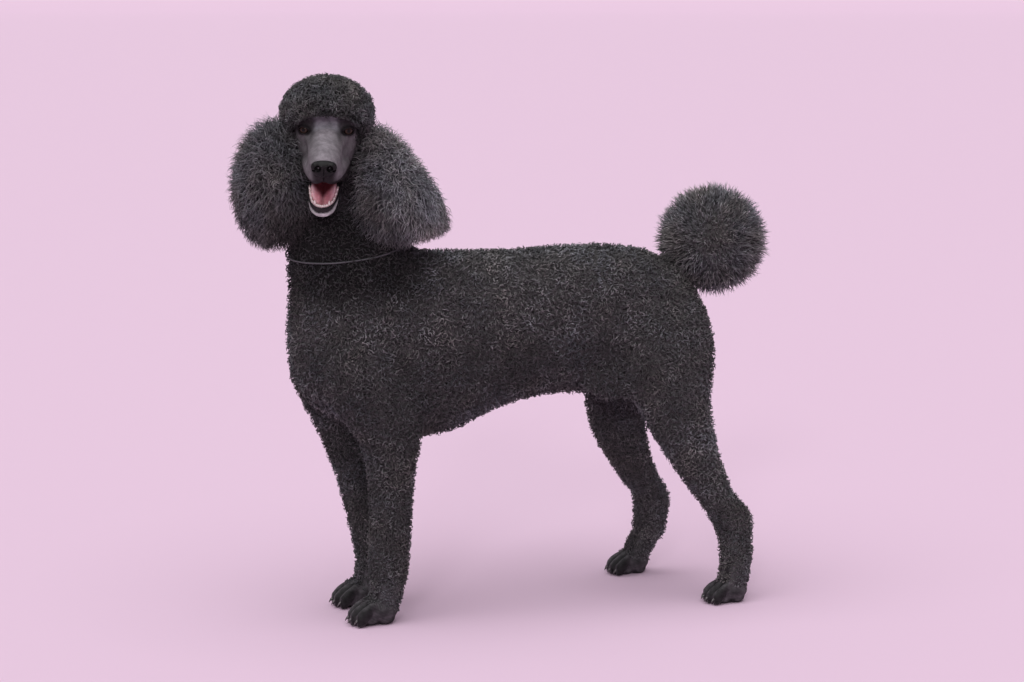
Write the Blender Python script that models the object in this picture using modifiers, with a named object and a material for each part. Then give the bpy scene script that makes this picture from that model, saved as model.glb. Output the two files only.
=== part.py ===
# A black standard poodle, standing, as a still life-size model. Metres, +Z up.
# The dog faces -Y, its left side is at +X, and its head is turned to its left.
# The flesh is modelled whole from lofts and ovals, fused, and parted by thin plane cuts.

import bmesh
import bpy
from math import cos, pi, radians, sin, sqrt
from mathutils import Matrix, Vector
from mathutils.bvhtree import BVHTree

# Driving sizes of the body
WITHERS_HEIGHT = 0.603
GAP = 0.0003
HALF_GAP = GAP / 2
COAT_GAP = 0.0007
BODY_SHIFT = Vector((-0.0053, -0.0244, 0.0035))
SOLE = -BODY_SHIFT.z

# Head: the point between the eyes, its turn to the left and its nod
EYE_MIDDLE = Vector((0.065, -0.297, 0.8045))
HEAD_TURN = radians(74.5)
HEAD_NOD = radians(15.0)
EYE_SPACING = 0.064
EYE_RADIUS = 0.0115
JAW_OPENING = radians(28.0)
JAW_HINGE = Vector((0.0, 0.020, -0.035))

# Where the feet stand
FORE_FOOT_LEFT = Vector((0.066, -0.222, SOLE))
FORE_FOOT_RIGHT = Vector((-0.062, -0.218, SOLE))
HIND_FOOT_LEFT = Vector((0.108, 0.385, SOLE))
HIND_FOOT_RIGHT = Vector((-0.142, 0.302, SOLE))
FORE_FOOT_SCALE = 1.06
HIND_FOOT_SCALE = 0.97

# Tail pompom: tips, dense core, roots and half width of its clumps
POMPOM_CENTRE = Vector((0.0, 0.393, 0.605))
POMPOM_RADIUS = 0.0975
POMPOM_CORE = 0.046
POMPOM_ROOT = 0.030
POMPOM_CLUMPS = 30
POMPOM_CLUMP = 0.0285
COLLAR_THICKNESS = 0.0030
COLLAR_TILT = 0.22
SCALP_CENTRE = Vector((0.0, 0.054, -0.008))
SCALP_HALF = Vector((0.0600, 0.0740, 0.0590))
TOPKNOT_CENTRE = Vector((0.0, 0.045, 0.014))
TOPKNOT_HALF = Vector((0.079, 0.090, 0.0625))
TOPKNOT_CORE_CENTRE = Vector((0.0, 0.050, 0.004))
TOPKNOT_CORE_HALF = Vector((0.067, 0.080, 0.058))
TOPKNOT_CLUMPS = 42
TOPKNOT_CLUMP = 0.0220

# Ears in the level head: middle, half sizes, narrowing to the top and sideways lean
EAR_LEFT = (Vector((0.111, 0.045, -0.099)), Vector((0.077, 0.070, 0.107)), 0.22, 0.025)
EAR_RIGHT = (Vector((-0.086, 0.040, -0.089)), Vector((0.066, 0.068, 0.102)), 0.04, -0.004)

# Locks of an ear: how many, half width and half thickness, and how deep they root
EAR_LOCKS = 40
EAR_LOCK_WIDTH = 0.0240
EAR_LOCK_THICKNESS = 0.0085
EAR_CORE = 0.50
EAR_CORE_RISE = 0.18
EAR_ROOT = 0.34

# Share of a clump's or a lock's width at its fractions of the way from root to tip
CLUMP_SHAPE = ((0.62, 1.0), (0.91, 0.68))
LOCK_SHAPE = ((0.32, 0.95), (0.70, 1.0), (0.93, 0.55))

# Planes that part the nodes: a point on each, and the way it faces
NECK_BASE = (Vector((0.0, -0.35, 0.550)), Vector((0.0, -0.243, 0.970)))
HEAD_BASE = (Vector((0.0, 0.030, -0.060)), Vector((0.0, -0.72, 0.69)))
FRINGE = (Vector((0.0, -0.035, -0.014)), Vector((0.0, 0.300, 0.954)))
VISOR_CENTRE = Vector((0.0, -0.062, -0.024))
VISOR_HALF = Vector((0.066, 0.100, 0.056))
FORELEG_TOP = (Vector((0.0, -0.20, 0.286)), Vector((0.0, 0.0, 1.0)))
HINDLEG_TOP = (Vector((0.0, 0.30, 0.410)), Vector((0.0, -0.412, 0.911)))
TAIL_BASE = (Vector((0.0, 0.328, 0.572)), Vector((0.0, 0.80, 0.60)))
TAIL_CREASE = Vector((0.0, 0.331, 0.550))
WRIST_HEIGHT = 0.052
MID_BODY = Vector((0.0, 0.06, 0.0))
SLAB = 2.0
TRIM = 0.002

# MANIFOLD, because EXACT left open edges where dense rounded bodies cross
SOLVER = "MANIFOLD"

# Fineness of the fused flesh
BODY_VOXEL = 0.003
HEAD_VOXEL = 0.0016
PAW_VOXEL = 0.0018

# Triangle aims
BODY_TRIANGLES = 1920
HEAD_TRIANGLES = 1450
PAW_TRIANGLES = 250
POMPOM_TRIANGLES = 1500
TOPKNOT_TRIANGLES = 1450
EAR_TRIANGLES = 1500
HEAD_PLUG_TRIANGLES = 700
HEAD_PLUG_MARGIN = 0.0022

SIDE = Vector((1.0, 0.0, 0.0))
ALONG = Vector((0.0, 1.0, 0.0))
UP = Vector((0.0, 0.0, 1.0))


def clear_scene():
    for old in list(bpy.data.objects):
        bpy.data.objects.remove(old, do_unlink=True)


def material(name, colour, roughness, metallic=0.0):
    surface = bpy.data.materials.new(name)
    surface.use_nodes = True
    shader = surface.node_tree.nodes["Principled BSDF"]
    shader.inputs["Base Color"].default_value = (*colour, 1.0)
    shader.inputs["Roughness"].default_value = roughness
    shader.inputs["Metallic"].default_value = metallic
    return surface


def smooth_rows(rows, steps):
    """Points on a Catmull-Rom curve through rows of numbers, steps to each span."""
    out = []
    last = len(rows) - 1
    for i in range(last):
        before = rows[max(i - 1, 0)]
        start = rows[i]
        end = rows[i + 1]
        after = rows[min(i + 2, last)]
        for k in range(steps):
            t = k / steps
            row = []
            for a, b, c, d in zip(before, start, end, after):
                row.append(0.5 * (2 * b + (c - a) * t + (2 * a - 5 * b + 4 * c - d) * t ** 2
                                  + (3 * b - a - 3 * c + d) * t ** 3))
            out.append(row)
    out.append(list(rows[last]))
    return out


def oval_ring(centre, side, up, half_side, half_up, power, count):
    """A superellipse of count points round centre."""
    ring = []
    for i in range(count):
        angle = 2 * pi * i / count
        c = cos(angle)
        s = sin(angle)
        along = abs(c) ** (2 / power) * (1 if c >= 0 else -1)
        across = abs(s) ** (2 / power) * (1 if s >= 0 else -1)
        ring.append(centre + side * (half_side * along) + up * (half_up * across))
    return ring


def new_object(name, mesh):
    piece = bpy.data.objects.new(name, mesh)
    bpy.context.scene.collection.objects.link(piece)
    return piece


def mesh_object(name, bm):
    bmesh.ops.recalc_face_normals(bm, faces=bm.faces)
    mesh = bpy.data.meshes.new(name)
    bm.to_mesh(mesh)
    bm.free()
    return new_object(name, mesh)


def skin_rings(bm, rings):
    """Closed surface through rings of points, with a point in the middle of each end."""
    rows = [[bm.verts.new(point) for point in ring] for ring in rings]
    count = len(rings[0])
    for first, second in zip(rows, rows[1:]):
        for i in range(count):
            j = (i + 1) % count
            bm.faces.new((first[i], first[j], second[j], second[i]))
    for row in (rows[0], rows[-1]):
        middle = bm.verts.new(sum((v.co for v in row), Vector()) / count)
        for i in range(count):
            bm.faces.new((row[i], row[(i + 1) % count], middle))


def ring_of_rings(name, rings):
    """A closed band through rings of points, the last joined to the first."""
    bm = bmesh.new()
    rows = [[bm.verts.new(point) for point in ring] for ring in rings]
    count = len(rings[0])
    for first, second in zip(rows, rows[1:] + rows[:1]):
        for i in range(count):
            j = (i + 1) % count
            bm.faces.new((first[i], first[j], second[j], second[i]))
    return mesh_object(name, bm)


def loft(name, rows, side, up, steps=4, count=24):
    """rows: x, y, z of the middle, half width along side, half width along up, power."""
    rings = []
    for x, y, z, half_side, half_up, power in smooth_rows(rows, steps):
        ring = oval_ring(Vector((x, y, z)), side, up, max(half_side, 0.001),
                         max(half_up, 0.001), power, count)
        rings.append(ring)
    bm = bmesh.new()
    skin_rings(bm, rings)
    return mesh_object(name, bm)


def oval(name, centre, half, matrix=None, detail=20):
    """An ellipsoid with the given half sizes."""
    bm = bmesh.new()
    bmesh.ops.create_uvsphere(bm, u_segments=detail, v_segments=detail // 2, radius=1.0)
    bmesh.ops.scale(bm, vec=half, verts=bm.verts)
    bmesh.ops.translate(bm, vec=centre, verts=bm.verts)
    if matrix is not None:
        bmesh.ops.transform(bm, matrix=matrix, verts=bm.verts)
    return mesh_object(name, bm)


def place(pieces, matrix):
    for piece in pieces:
        piece.data.transform(matrix)
    return pieces


def join(name, pieces):
    bm = bmesh.new()
    for piece in pieces:
        bm.from_mesh(piece.data)
    for piece in pieces:
        bpy.data.objects.remove(piece, do_unlink=True)
    mesh = bpy.data.meshes.new(name)
    bm.to_mesh(mesh)
    bm.free()
    return new_object(name, mesh)


def copy_of(piece, name):
    return new_object(name, piece.data.copy())


def apply_modifiers(piece):
    depsgraph = bpy.context.evaluated_depsgraph_get()
    mesh = bpy.data.meshes.new_from_object(piece.evaluated_get(depsgraph))
    piece.modifiers.clear()
    piece.data = mesh


def fuse(piece, voxel, rounds):
    """One smooth closed surface round the joined pieces."""
    remesh = piece.modifiers.new("Fuse", "REMESH")
    remesh.mode = "VOXEL"
    remesh.voxel_size = voxel
    even = piece.modifiers.new("Even", "SMOOTH")
    even.factor = 0.5
    even.iterations = rounds
    apply_modifiers(piece)


def thin_out(piece, triangles):
    """Fewer triangles, most of them kept where the surface bends."""
    now = sum(len(face.vertices) - 2 for face in piece.data.polygons)
    fewer = piece.modifiers.new("Fewer", "DECIMATE")
    fewer.ratio = min(1.0, triangles / now)
    fewer.use_collapse_triangulate = True
    apply_modifiers(piece)


def boolean(piece, tool, operation):
    """Join piece with a closed tool, or cut it away, and remove the tool."""
    tool.hide_render = True
    tool.display_type = "WIRE"
    change = piece.modifiers.new("Change", "BOOLEAN")
    change.operation = operation
    change.object = tool
    change.solver = SOLVER
    apply_modifiers(piece)
    bpy.data.objects.remove(tool, do_unlink=True)


def unite(piece, others):
    """Fuse piece with a collection of closed bodies and remove them."""
    group = bpy.data.collections.new("united")
    for other in others:
        group.objects.link(other)
    change = piece.modifiers.new("Unite", "BOOLEAN")
    change.operation = "UNION"
    change.operand_type = "COLLECTION"
    change.collection = group
    change.solver = SOLVER
    apply_modifiers(piece)
    for other in others:
        bpy.data.objects.remove(other, do_unlink=True)
    bpy.data.collections.remove(group)


def keep_largest(piece):
    """Drop every closed surface but the one with the most area."""
    bm = bmesh.new()
    bm.from_mesh(piece.data)
    left = set(bm.verts)
    best = set()
    best_area = 0.0
    while left:
        queue = [left.pop()]
        island = set(queue)
        while queue:
            vert = queue.pop()
            for edge in vert.link_edges:
                other = edge.other_vert(vert)
                if other in left:
                    left.discard(other)
                    island.add(other)
                    queue.append(other)
        faces = {face for vert in island for face in vert.link_faces}
        area = sum(face.calc_area() for face in faces)
        if area > best_area:
            best = island
            best_area = area
    bmesh.ops.delete(bm, geom=[v for v in bm.verts if v not in best], context="VERTS")
    bm.to_mesh(piece.data)
    bm.free()


def slab(point, facing, size=SLAB):
    """A block whose one face is centred on a point of a plane, with the block behind it."""
    turn = UP.rotation_difference(facing).to_matrix().to_4x4()
    bm = bmesh.new()
    bmesh.ops.create_cube(bm, size=size)
    middle = point - facing * (size / 2)
    bmesh.ops.transform(bm, matrix=Matrix.Translation(middle) @ turn, verts=bm.verts)
    return mesh_object("slab", bm)


def behind(plane):
    """The block behind a parting plane, half a gap beyond it."""
    point, facing = plane
    return slab(point + facing * HALF_GAP, facing)


def before(plane):
    """The block in front of a parting plane, half a gap beyond it."""
    point, facing = plane
    return slab(point - facing * HALF_GAP, -facing)


def grown(piece, distance):
    """A copy whose surface lies outside the piece by a distance."""
    copy = copy_of(piece, "grown")
    shifts = [vertex.normal * distance for vertex in copy.data.vertices]
    for vertex, shift in zip(copy.data.vertices, shifts):
        vertex.co += shift
    return copy


def head_matrix(nod):
    turn = Matrix.Rotation(HEAD_TURN, 4, "Z") @ Matrix.Rotation(nod, 4, "X")
    return Matrix.Translation(EYE_MIDDLE) @ turn


HEAD = head_matrix(HEAD_NOD)
LEVEL_HEAD = head_matrix(0.0)


def jaw_matrix():
    swing = Matrix.Rotation(JAW_OPENING, 4, "X")
    return HEAD @ Matrix.Translation(JAW_HINGE) @ swing @ Matrix.Translation(-JAW_HINGE)


def in_head(plane):
    point, facing = plane
    return HEAD @ point, HEAD.to_3x3() @ facing


def between(rows):
    """Rows of y, top, bottom, half width, power as loft rows along Y."""
    return [(0.0, y, (top + low) / 2, half, (top - low) / 2, power)
            for y, top, low, half, power in rows]


def trunk():
    """Chest, back, belly and rump: y, top, bottom, half width, power."""
    rows = between([
        (-0.345, 0.520, 0.405, 0.031, 2.0),
        (-0.330, 0.575, 0.367, 0.064, 2.0),
        (-0.276, 0.603, 0.332, 0.087, 2.1),
        (-0.180, WITHERS_HEIGHT + 0.002, 0.296, 0.098, 2.2),
        (-0.090, WITHERS_HEIGHT, 0.297, 0.102, 2.2),
        (0.013, WITHERS_HEIGHT - 0.003, 0.338, 0.100, 2.2),
        (0.119, WITHERS_HEIGHT + 0.001, 0.357, 0.092, 2.2),
        (0.208, WITHERS_HEIGHT + 0.001, 0.366, 0.088, 2.2),
        (0.268, 0.594, 0.385, 0.090, 2.1),
        (0.318, 0.567, 0.385, 0.086, 2.0),
        (0.357, 0.526, 0.385, 0.070, 2.0),
        (0.380, 0.474, 0.395, 0.030, 2.0)])
    return loft("trunk", rows, SIDE, UP, count=32)


def neck_flesh():
    """The neck from the chest up into the skull, turning with the head."""
    rows = [
        (0.000, -0.205, 0.470, 0.080, 0.120, 2.0),
        (0.000, -0.228, 0.550, 0.084, 0.119, 2.0),
        (0.000, -0.243, 0.610, 0.080, 0.105, 2.0),
        (0.002, -0.255, 0.665, 0.070, 0.085, 2.0),
        (0.008, -0.265, 0.720, 0.062, 0.066, 2.0),
        (0.012, -0.272, 0.780, 0.056, 0.056, 2.0),
        (0.012, -0.275, 0.815, 0.045, 0.045, 2.0)]
    return loft("neck_flesh", rows, SIDE, ALONG, count=32)


def sheath():
    """The fold along the belly."""
    return oval("sheath", Vector((0.0, 0.158, 0.359)), Vector((0.015, 0.050, 0.014)))


def flank_folds():
    """Skin that joins each thigh to the belly."""
    folds = []
    for sign in (-1, 1):
        centre = Vector((sign * 0.064, 0.190, 0.385))
        folds.append(oval("flank", centre, Vector((0.020, 0.055, 0.045))))
    return folds


def foreleg_flesh(left):
    """Shoulder to pastern: x, y, z, half width, half depth, power."""
    if left:
        rows = [
            (0.056, -0.238, 0.500, 0.032, 0.060, 2.0),
            (0.062, -0.240, 0.430, 0.046, 0.082, 2.0),
            (0.064, -0.218, 0.360, 0.046, 0.079, 2.0),
            (0.063, -0.195, 0.300, 0.040, 0.054, 2.0),
            (0.062, -0.1935, 0.235, 0.036, 0.0395, 2.0),
            (0.063, -0.1965, 0.150, 0.034, 0.0358, 2.0),
            (0.064, -0.1995, 0.085, 0.0325, 0.0335, 2.0),
            (0.066, -0.205, 0.040, 0.027, 0.028, 2.0),
            (0.066, -0.212, 0.020, 0.024, 0.024, 2.0)]
    else:
        rows = [
            (-0.056, -0.238, 0.500, 0.032, 0.060, 2.0),
            (-0.062, -0.244, 0.430, 0.046, 0.082, 2.0),
            (-0.065, -0.239, 0.360, 0.046, 0.081, 2.0),
            (-0.066, -0.227, 0.290, 0.040, 0.057, 2.0),
            (-0.066, -0.211, 0.213, 0.036, 0.0435, 2.0),
            (-0.065, -0.195, 0.127, 0.034, 0.0380, 2.0),
            (-0.063, -0.190, 0.074, 0.0315, 0.0330, 2.0),
            (-0.062, -0.200, 0.036, 0.027, 0.028, 2.0),
            (-0.062, -0.208, 0.020, 0.024, 0.024, 2.0)]
    return loft("foreleg_flesh", rows, SIDE, ALONG)


def hindleg_flesh(left):
    """Haunch to hind pastern: x, y, z, half width, half depth, power."""
    if left:
        rows = [
            (0.050, 0.280, 0.530, 0.030, 0.060, 2.0),
            (0.062, 0.284, 0.470, 0.048, 0.084, 2.0),
            (0.070, 0.286, 0.410, 0.054, 0.085, 2.0),
            (0.078, 0.290, 0.355, 0.052, 0.071, 2.0),
            (0.084, 0.305, 0.300, 0.045, 0.0590, 2.0),
            (0.090, 0.332, 0.235, 0.037, 0.0460, 2.0),
            (0.095, 0.363, 0.180, 0.031, 0.0375, 2.0),
            (0.098, 0.388, 0.152, 0.030, 0.0415, 2.0),
            (0.101, 0.399, 0.110, 0.028, 0.0315, 2.0),
            (0.105, 0.401, 0.076, 0.0275, 0.0300, 2.0),
            (0.108, 0.395, 0.040, 0.026, 0.028, 2.0),
            (0.108, 0.388, 0.020, 0.022, 0.023, 2.0)]
    else:
        rows = [
            (-0.050, 0.280, 0.530, 0.030, 0.060, 2.0),
            (-0.062, 0.282, 0.470, 0.048, 0.084, 2.0),
            (-0.072, 0.280, 0.410, 0.054, 0.084, 2.0),
            (-0.088, 0.257, 0.330, 0.050, 0.062, 2.0),
            (-0.102, 0.265, 0.260, 0.041, 0.0500, 2.0),
            (-0.116, 0.300, 0.190, 0.033, 0.0390, 2.0),
            (-0.126, 0.330, 0.150, 0.030, 0.0365, 2.0),
            (-0.131, 0.338, 0.130, 0.030, 0.0355, 2.0),
            (-0.136, 0.338, 0.098, 0.028, 0.0315, 2.0),
            (-0.140, 0.334, 0.060, 0.027, 0.0300, 2.0),
            (-0.142, 0.318, 0.036, 0.026, 0.028, 2.0),
            (-0.142, 0.308, 0.020, 0.022, 0.023, 2.0)]
    return loft("hindleg_flesh", rows, SIDE, ALONG)


TOE_SPREAD = (-0.0205, -0.0072, 0.0072, 0.0205)
TOE_REACH = (0.030, 0.0365, 0.0365, 0.030)


def toe_rows(spread, reach):
    """One toe from the foot over its knuckle to its tip."""
    return [
        (spread * 0.55, 0.004, 0.024, 0.0090, 0.0110, 2.0),
        (spread * 0.85, -0.012, 0.0265, 0.0098, 0.0115, 2.0),
        (spread * 1.02, -reach + 0.012, 0.0200, 0.0100, 0.0130, 2.0),
        (spread * 1.08, -reach, 0.0105, 0.0092, 0.0115, 2.0),
        (spread * 1.10, -reach - 0.0060, 0.0080, 0.0060, 0.0070, 2.0)]


def paw_matrix(place_on_floor, scale):
    return Matrix.Translation(place_on_floor) @ Matrix.Scale(scale, 4)


def paw_flesh(matrix):
    """Foot with four arched toes and a pad, soles a little under the floor."""
    pieces = [
        oval("foot", Vector((0.0, 0.006, 0.022)), Vector((0.0265, 0.030, 0.020))),
        oval("pad", Vector((0.0, 0.012, 0.009)), Vector((0.0200, 0.018, 0.0115)))]
    for spread, reach in zip(TOE_SPREAD, TOE_REACH):
        pieces.append(loft("toe", toe_rows(spread, reach), SIDE, UP, count=14))
    return place(pieces, matrix)


def claw(name, matrix, spread, reach):
    """A short curved claw that grows from the tip of a toe."""
    rows = [
        (spread * 1.08, -reach - 0.0010, 0.0125, 0.0024, 0.0028, 2.0),
        (spread * 1.10, -reach - 0.0075, 0.0112, 0.0021, 0.0025, 2.0),
        (spread * 1.12, -reach - 0.0125, 0.0055, 0.0008, 0.0009, 2.0)]
    piece = loft(name, rows, SIDE, UP, steps=1, count=4)
    place([piece], matrix)
    return piece


def face_rows(rows):
    """Rows of distance ahead of the eyes, top, bottom, half width, power."""
    return [(0.0, -ahead, (top + low) / 2, half, (top - low) / 2, power)
            for ahead, top, low, half, power in rows]


def skull_and_muzzle():
    rows = face_rows([
        (-0.128, 0.016, -0.020, 0.020, 2.0),
        (-0.115, 0.034, -0.045, 0.042, 2.0),
        (-0.085, 0.045, -0.060, 0.054, 2.1),
        (-0.045, 0.046, -0.066, 0.057, 2.2),
        (-0.015, 0.035, -0.066, 0.053, 2.2),
        (0.004, 0.024, -0.063, 0.046, 2.2),
        (0.022, 0.013, -0.058, 0.036, 2.2),
        (0.050, 0.007, -0.054, 0.0300, 2.2),
        (0.085, 0.003, -0.051, 0.0275, 2.2),
        (0.106, -0.003, -0.049, 0.0245, 2.2),
        (0.117, -0.009, -0.046, 0.0185, 2.0),
        (0.121, -0.017, -0.040, 0.0090, 2.0)])
    return loft("skull", rows, SIDE, UP)


def lips(sign):
    """The hanging upper lip of one side."""
    rows = [
        (sign * 0.030, -0.020, -0.052, 0.010, 0.016, 2.0),
        (sign * 0.0260, -0.050, -0.046, 0.0105, 0.0165, 2.0),
        (sign * 0.0215, -0.085, -0.040, 0.0120, 0.0165, 2.0),
        (sign * 0.0130, -0.110, -0.038, 0.0120, 0.0145, 2.0),
        (sign * 0.0060, -0.118, -0.038, 0.0070, 0.0090, 2.0)]
    return loft("lip", rows, SIDE, UP, count=16)


def brow(sign):
    """Bone over the eye."""
    half = Vector((0.016, 0.014, 0.009))
    return oval("brow", Vector((sign * 0.033, 0.004, 0.017)), half)


def cheek(sign):
    half = Vector((0.018, 0.042, 0.032))
    return oval("cheek", Vector((sign * 0.034, 0.024, -0.042)), half)


def eye_centre(sign):
    return Vector((sign * EYE_SPACING / 2, -0.004, 0.0))


def eye_look(sign):
    """The way an eye faces: forward and a little outward."""
    return Vector((sign * 0.36, -0.93, 0.06)).normalized()


def lids(sign):
    """A rim of flesh round the opening of the eye."""
    look = eye_look(sign)
    across = look.cross(UP).normalized()
    rise = across.cross(look)
    rings = []
    for i in range(20):
        angle = 2 * pi * i / 20
        out = across * cos(angle) * 1.05 + rise * sin(angle) * 0.80
        middle = eye_centre(sign) + out * 0.0108 + look * 0.0052
        rings.append(oval_ring(middle, out.normalized(), look, 0.0034, 0.0038, 2.0, 8))
    return ring_of_rings("lids", rings)


def jaw_flesh():
    rows = face_rows([
        (-0.050, -0.040, -0.078, 0.046, 2.0),
        (-0.020, -0.040, -0.086, 0.044, 2.0),
        (0.010, -0.048, -0.086, 0.036, 2.0),
        (0.040, -0.055, -0.080, 0.0275, 2.1),
        (0.070, -0.057, -0.076, 0.0230, 2.2),
        (0.088, -0.058, -0.073, 0.0195, 2.2),
        (0.098, -0.060, -0.069, 0.0110, 2.0)])
    return loft("jaw", rows, SIDE, UP)


def tongue():
    """Lies on the floor of the mouth, its tip behind the lower front teeth."""
    rows = face_rows([
        (0.012, -0.044, -0.064, 0.0165, 2.2),
        (0.030, -0.047, -0.064, 0.0175, 2.4),
        (0.050, -0.050, -0.064, 0.0170, 2.4),
        (0.068, -0.053, -0.064, 0.0150, 2.4),
        (0.080, -0.056, -0.063, 0.0095, 2.2)])
    piece = loft("tongue", rows, SIDE, UP, steps=1, count=12)
    for vertex in piece.data.vertices:
        groove = max(0.0, 1 - abs(vertex.co.x) / 0.008)
        if vertex.co.z > -0.058:
            vertex.co.z -= 0.0025 * groove
    place([piece], jaw_matrix())
    return piece


def gum_point(t):
    """Along the lower tooth row, from t -1 at the right through 0 in front to 1."""
    angle = t * radians(78)
    ahead = 0.054 + 0.036 * cos(angle) - 0.030 * max(0.0, abs(t) - 0.6)
    return Vector((0.0195 * sin(angle), -ahead, -0.0575))


def lower_teeth():
    """A gum ridge with six small front teeth, two fangs and some side teeth."""
    rings = []
    for i in range(13):
        t = -1 + i / 6
        middle = gum_point(t)
        out = Vector((middle.x, middle.y + 0.054, 0.0)).normalized()
        rings.append(oval_ring(middle, out, UP, 0.0022, 0.0042, 2.0, 5))
    bm = bmesh.new()
    skin_rings(bm, rings)
    gum = mesh_object("lower_teeth", bm)
    teeth = []
    for t in (-0.85, -0.62, -0.38, -0.22, -0.075, 0.075, 0.22, 0.38, 0.62, 0.85):
        fang = abs(t) == 0.38
        height = 0.0100 if fang else 0.0045
        half = 0.0022 if fang else 0.0015
        foot = gum_point(t)
        rows = [
            (foot.x, foot.y, foot.z + 0.0010, half, half, 2.0),
            (foot.x * 1.03, foot.y, foot.z + 0.0040 + height, half * 0.5, half * 0.5, 2.0)]
        teeth.append(loft("tooth", rows, SIDE, ALONG, steps=1, count=4))
    unite(gum, teeth)
    keep_largest(gum)
    place([gum], jaw_matrix())
    return gum


def nose():
    """The leather of the nose with its two nostrils."""
    rows = face_rows([
        (0.1020, -0.0100, -0.0300, 0.0130, 2.0),
        (0.1100, -0.0070, -0.0320, 0.0180, 2.2),
        (0.1190, -0.0080, -0.0330, 0.0185, 2.3),
        (0.1245, -0.0110, -0.0320, 0.0160, 2.3),
        (0.1270, -0.0150, -0.0290, 0.0100, 2.0)])
    piece = loft("nose", rows, SIDE, UP, steps=1, count=14)
    holes = []
    for sign in (-1, 1):
        centre = Vector((sign * 0.0085, -0.1275, -0.0205))
        holes.append(oval("nostril", centre, Vector((0.0042, 0.0090, 0.0036)), detail=8))
        slit = Vector((sign * 0.0150, -0.1225, -0.0235))
        holes.append(oval("slit", slit, Vector((0.0060, 0.0050, 0.0016)), detail=6))
    for hole in holes:
        boolean(piece, hole, "DIFFERENCE")
    keep_largest(piece)
    place([piece], HEAD)
    return piece


def eyeball(name, sign):
    return oval(name, eye_centre(sign), Vector((1, 1, 1)) * EYE_RADIUS, HEAD, detail=12)


def tail_flesh():
    rows = [
        (0.0, 0.290, 0.540, 0.022, 0.022, 2.0),
        (0.0, 0.330, 0.572, 0.019, 0.019, 2.0),
        (0.0, 0.365, 0.592, 0.016, 0.016, 2.0),
        (0.0, 0.395, 0.607, 0.012, 0.012, 2.0)]
    return loft("tail_flesh", rows, SIDE, Vector((0.0, -0.5, 0.87)), count=16)


def head_flesh():
    pieces = [skull_and_muzzle()]
    for sign in (-1, 1):
        pieces += [lips(sign), brow(sign), cheek(sign), lids(sign)]
    place(pieces, HEAD)
    return pieces + place([jaw_flesh()], jaw_matrix())


def body_flesh():
    """Trunk, neck, tail, legs and the back of the head as one surface."""
    pieces = [trunk(), neck_flesh(), sheath(), tail_flesh()] + flank_folds()
    pieces += place([skull_and_muzzle(), cheek(-1), cheek(1)], HEAD) + place([jaw_flesh()], jaw_matrix())
    for left in (True, False):
        pieces += [foreleg_flesh(left), hindleg_flesh(left)]
    body = join("body", pieces)
    fuse(body, BODY_VOXEL, 10)
    thin_out(body, BODY_TRIANGLES)
    return body


def carve(source, name, planes, blocks=()):
    """The part of source that lies in front of every plane and outside the blocks."""
    piece = copy_of(source, name)
    for point, facing in planes:
        boolean(piece, slab(point + facing * HALF_GAP, facing), "DIFFERENCE")
    for (point, facing), size in blocks:
        boolean(piece, slab(point + facing * HALF_GAP, facing, size), "DIFFERENCE")
    keep_largest(piece)
    return piece


def carve_fine(source, name, plane, triangles):
    """The part of source in front of a plane, thinned out on its own."""
    point, facing = plane
    rough = carve(source, "rough", [(point - facing * TRIM, facing)])
    thin_out(rough, triangles)
    piece = carve(rough, name, [plane])
    bpy.data.objects.remove(rough, do_unlink=True)
    bpy.data.objects.remove(source, do_unlink=True)
    return piece


def turned(plane):
    """The same plane seen from its other side."""
    point, facing = plane
    return point, -facing


def mouth_hollow():
    """The vault of the palate and the throat."""
    return oval("hollow", Vector((0.0, -0.050, -0.058)), Vector((0.0185, 0.050, 0.017)), HEAD)


def jaw_box(grow):
    """The block that holds the lower jaw, from the corner of the mouth forward."""
    bm = bmesh.new()
    bmesh.ops.create_cube(bm, size=1.0)
    half_open = Matrix.Rotation(JAW_OPENING * 0.5, 4, "X")
    size = Vector((0.096, 0.16, 0.16))
    corner = Vector((0.0, -0.022 + grow, -0.0556 + grow))
    bmesh.ops.scale(bm, vec=size + Vector((1, 0, 0)) * grow * 2, verts=bm.verts)
    bmesh.ops.translate(bm, vec=corner - Vector((0.0, size.y / 2, size.z / 2)), verts=bm.verts)
    swing = HEAD @ Matrix.Translation(JAW_HINGE) @ half_open @ Matrix.Translation(-JAW_HINGE)
    bmesh.ops.transform(bm, matrix=swing, verts=bm.verts)
    return mesh_object("jaw_box", bm)


def collar(neck):
    """A thin cord that lies round the foot of the neck, lowest at the left of the chest."""
    count = 24
    middle = Vector((0.0, -0.243, 0.612))
    lowest = Vector((0.815, -0.580, 0.0))
    skin = BVHTree.FromObject(neck, bpy.context.evaluated_depsgraph_get())
    rings = []
    for i in range(count):
        angle = 2 * pi * i / count
        out = Vector((cos(angle), sin(angle), 0.0))
        way = (out - UP * (COLLAR_TILT * out.dot(lowest))).normalized()
        hit = skin.ray_cast(middle, way)[0]
        centre = hit + way * (COLLAR_THICKNESS * 0.15)
        rings.append(oval_ring(centre, out, UP, COLLAR_THICKNESS / 2, COLLAR_THICKNESS / 2, 2.0, 4))
    return ring_of_rings("collar", rings)


def pear(name, centre, half, matrix, narrowing, lean):
    """An oval that is narrower at its top and leans sideways towards its foot."""
    piece = oval(name, Vector(), Vector((1.0, 1.0, 1.0)), detail=14)
    for vertex in piece.data.vertices:
        width = 1.0 - narrowing * vertex.co.z
        vertex.co.x = half.x * width * vertex.co.x - lean * vertex.co.z
        vertex.co.y *= half.y * width
        vertex.co.z *= half.z
    piece.data.transform(matrix @ Matrix.Translation(centre))
    return piece


def even_ways(count):
    """Directions spread evenly over a sphere, from the top down."""
    ways = []
    for i in range(count):
        height = 1 - 2 * (i + 0.5) / count
        round_turn = pi * (3 - sqrt(5)) * i
        reach = sqrt(1 - height * height)
        ways.append(Vector((cos(round_turn) * reach, sin(round_turn) * reach, height)))
    return ways


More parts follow.
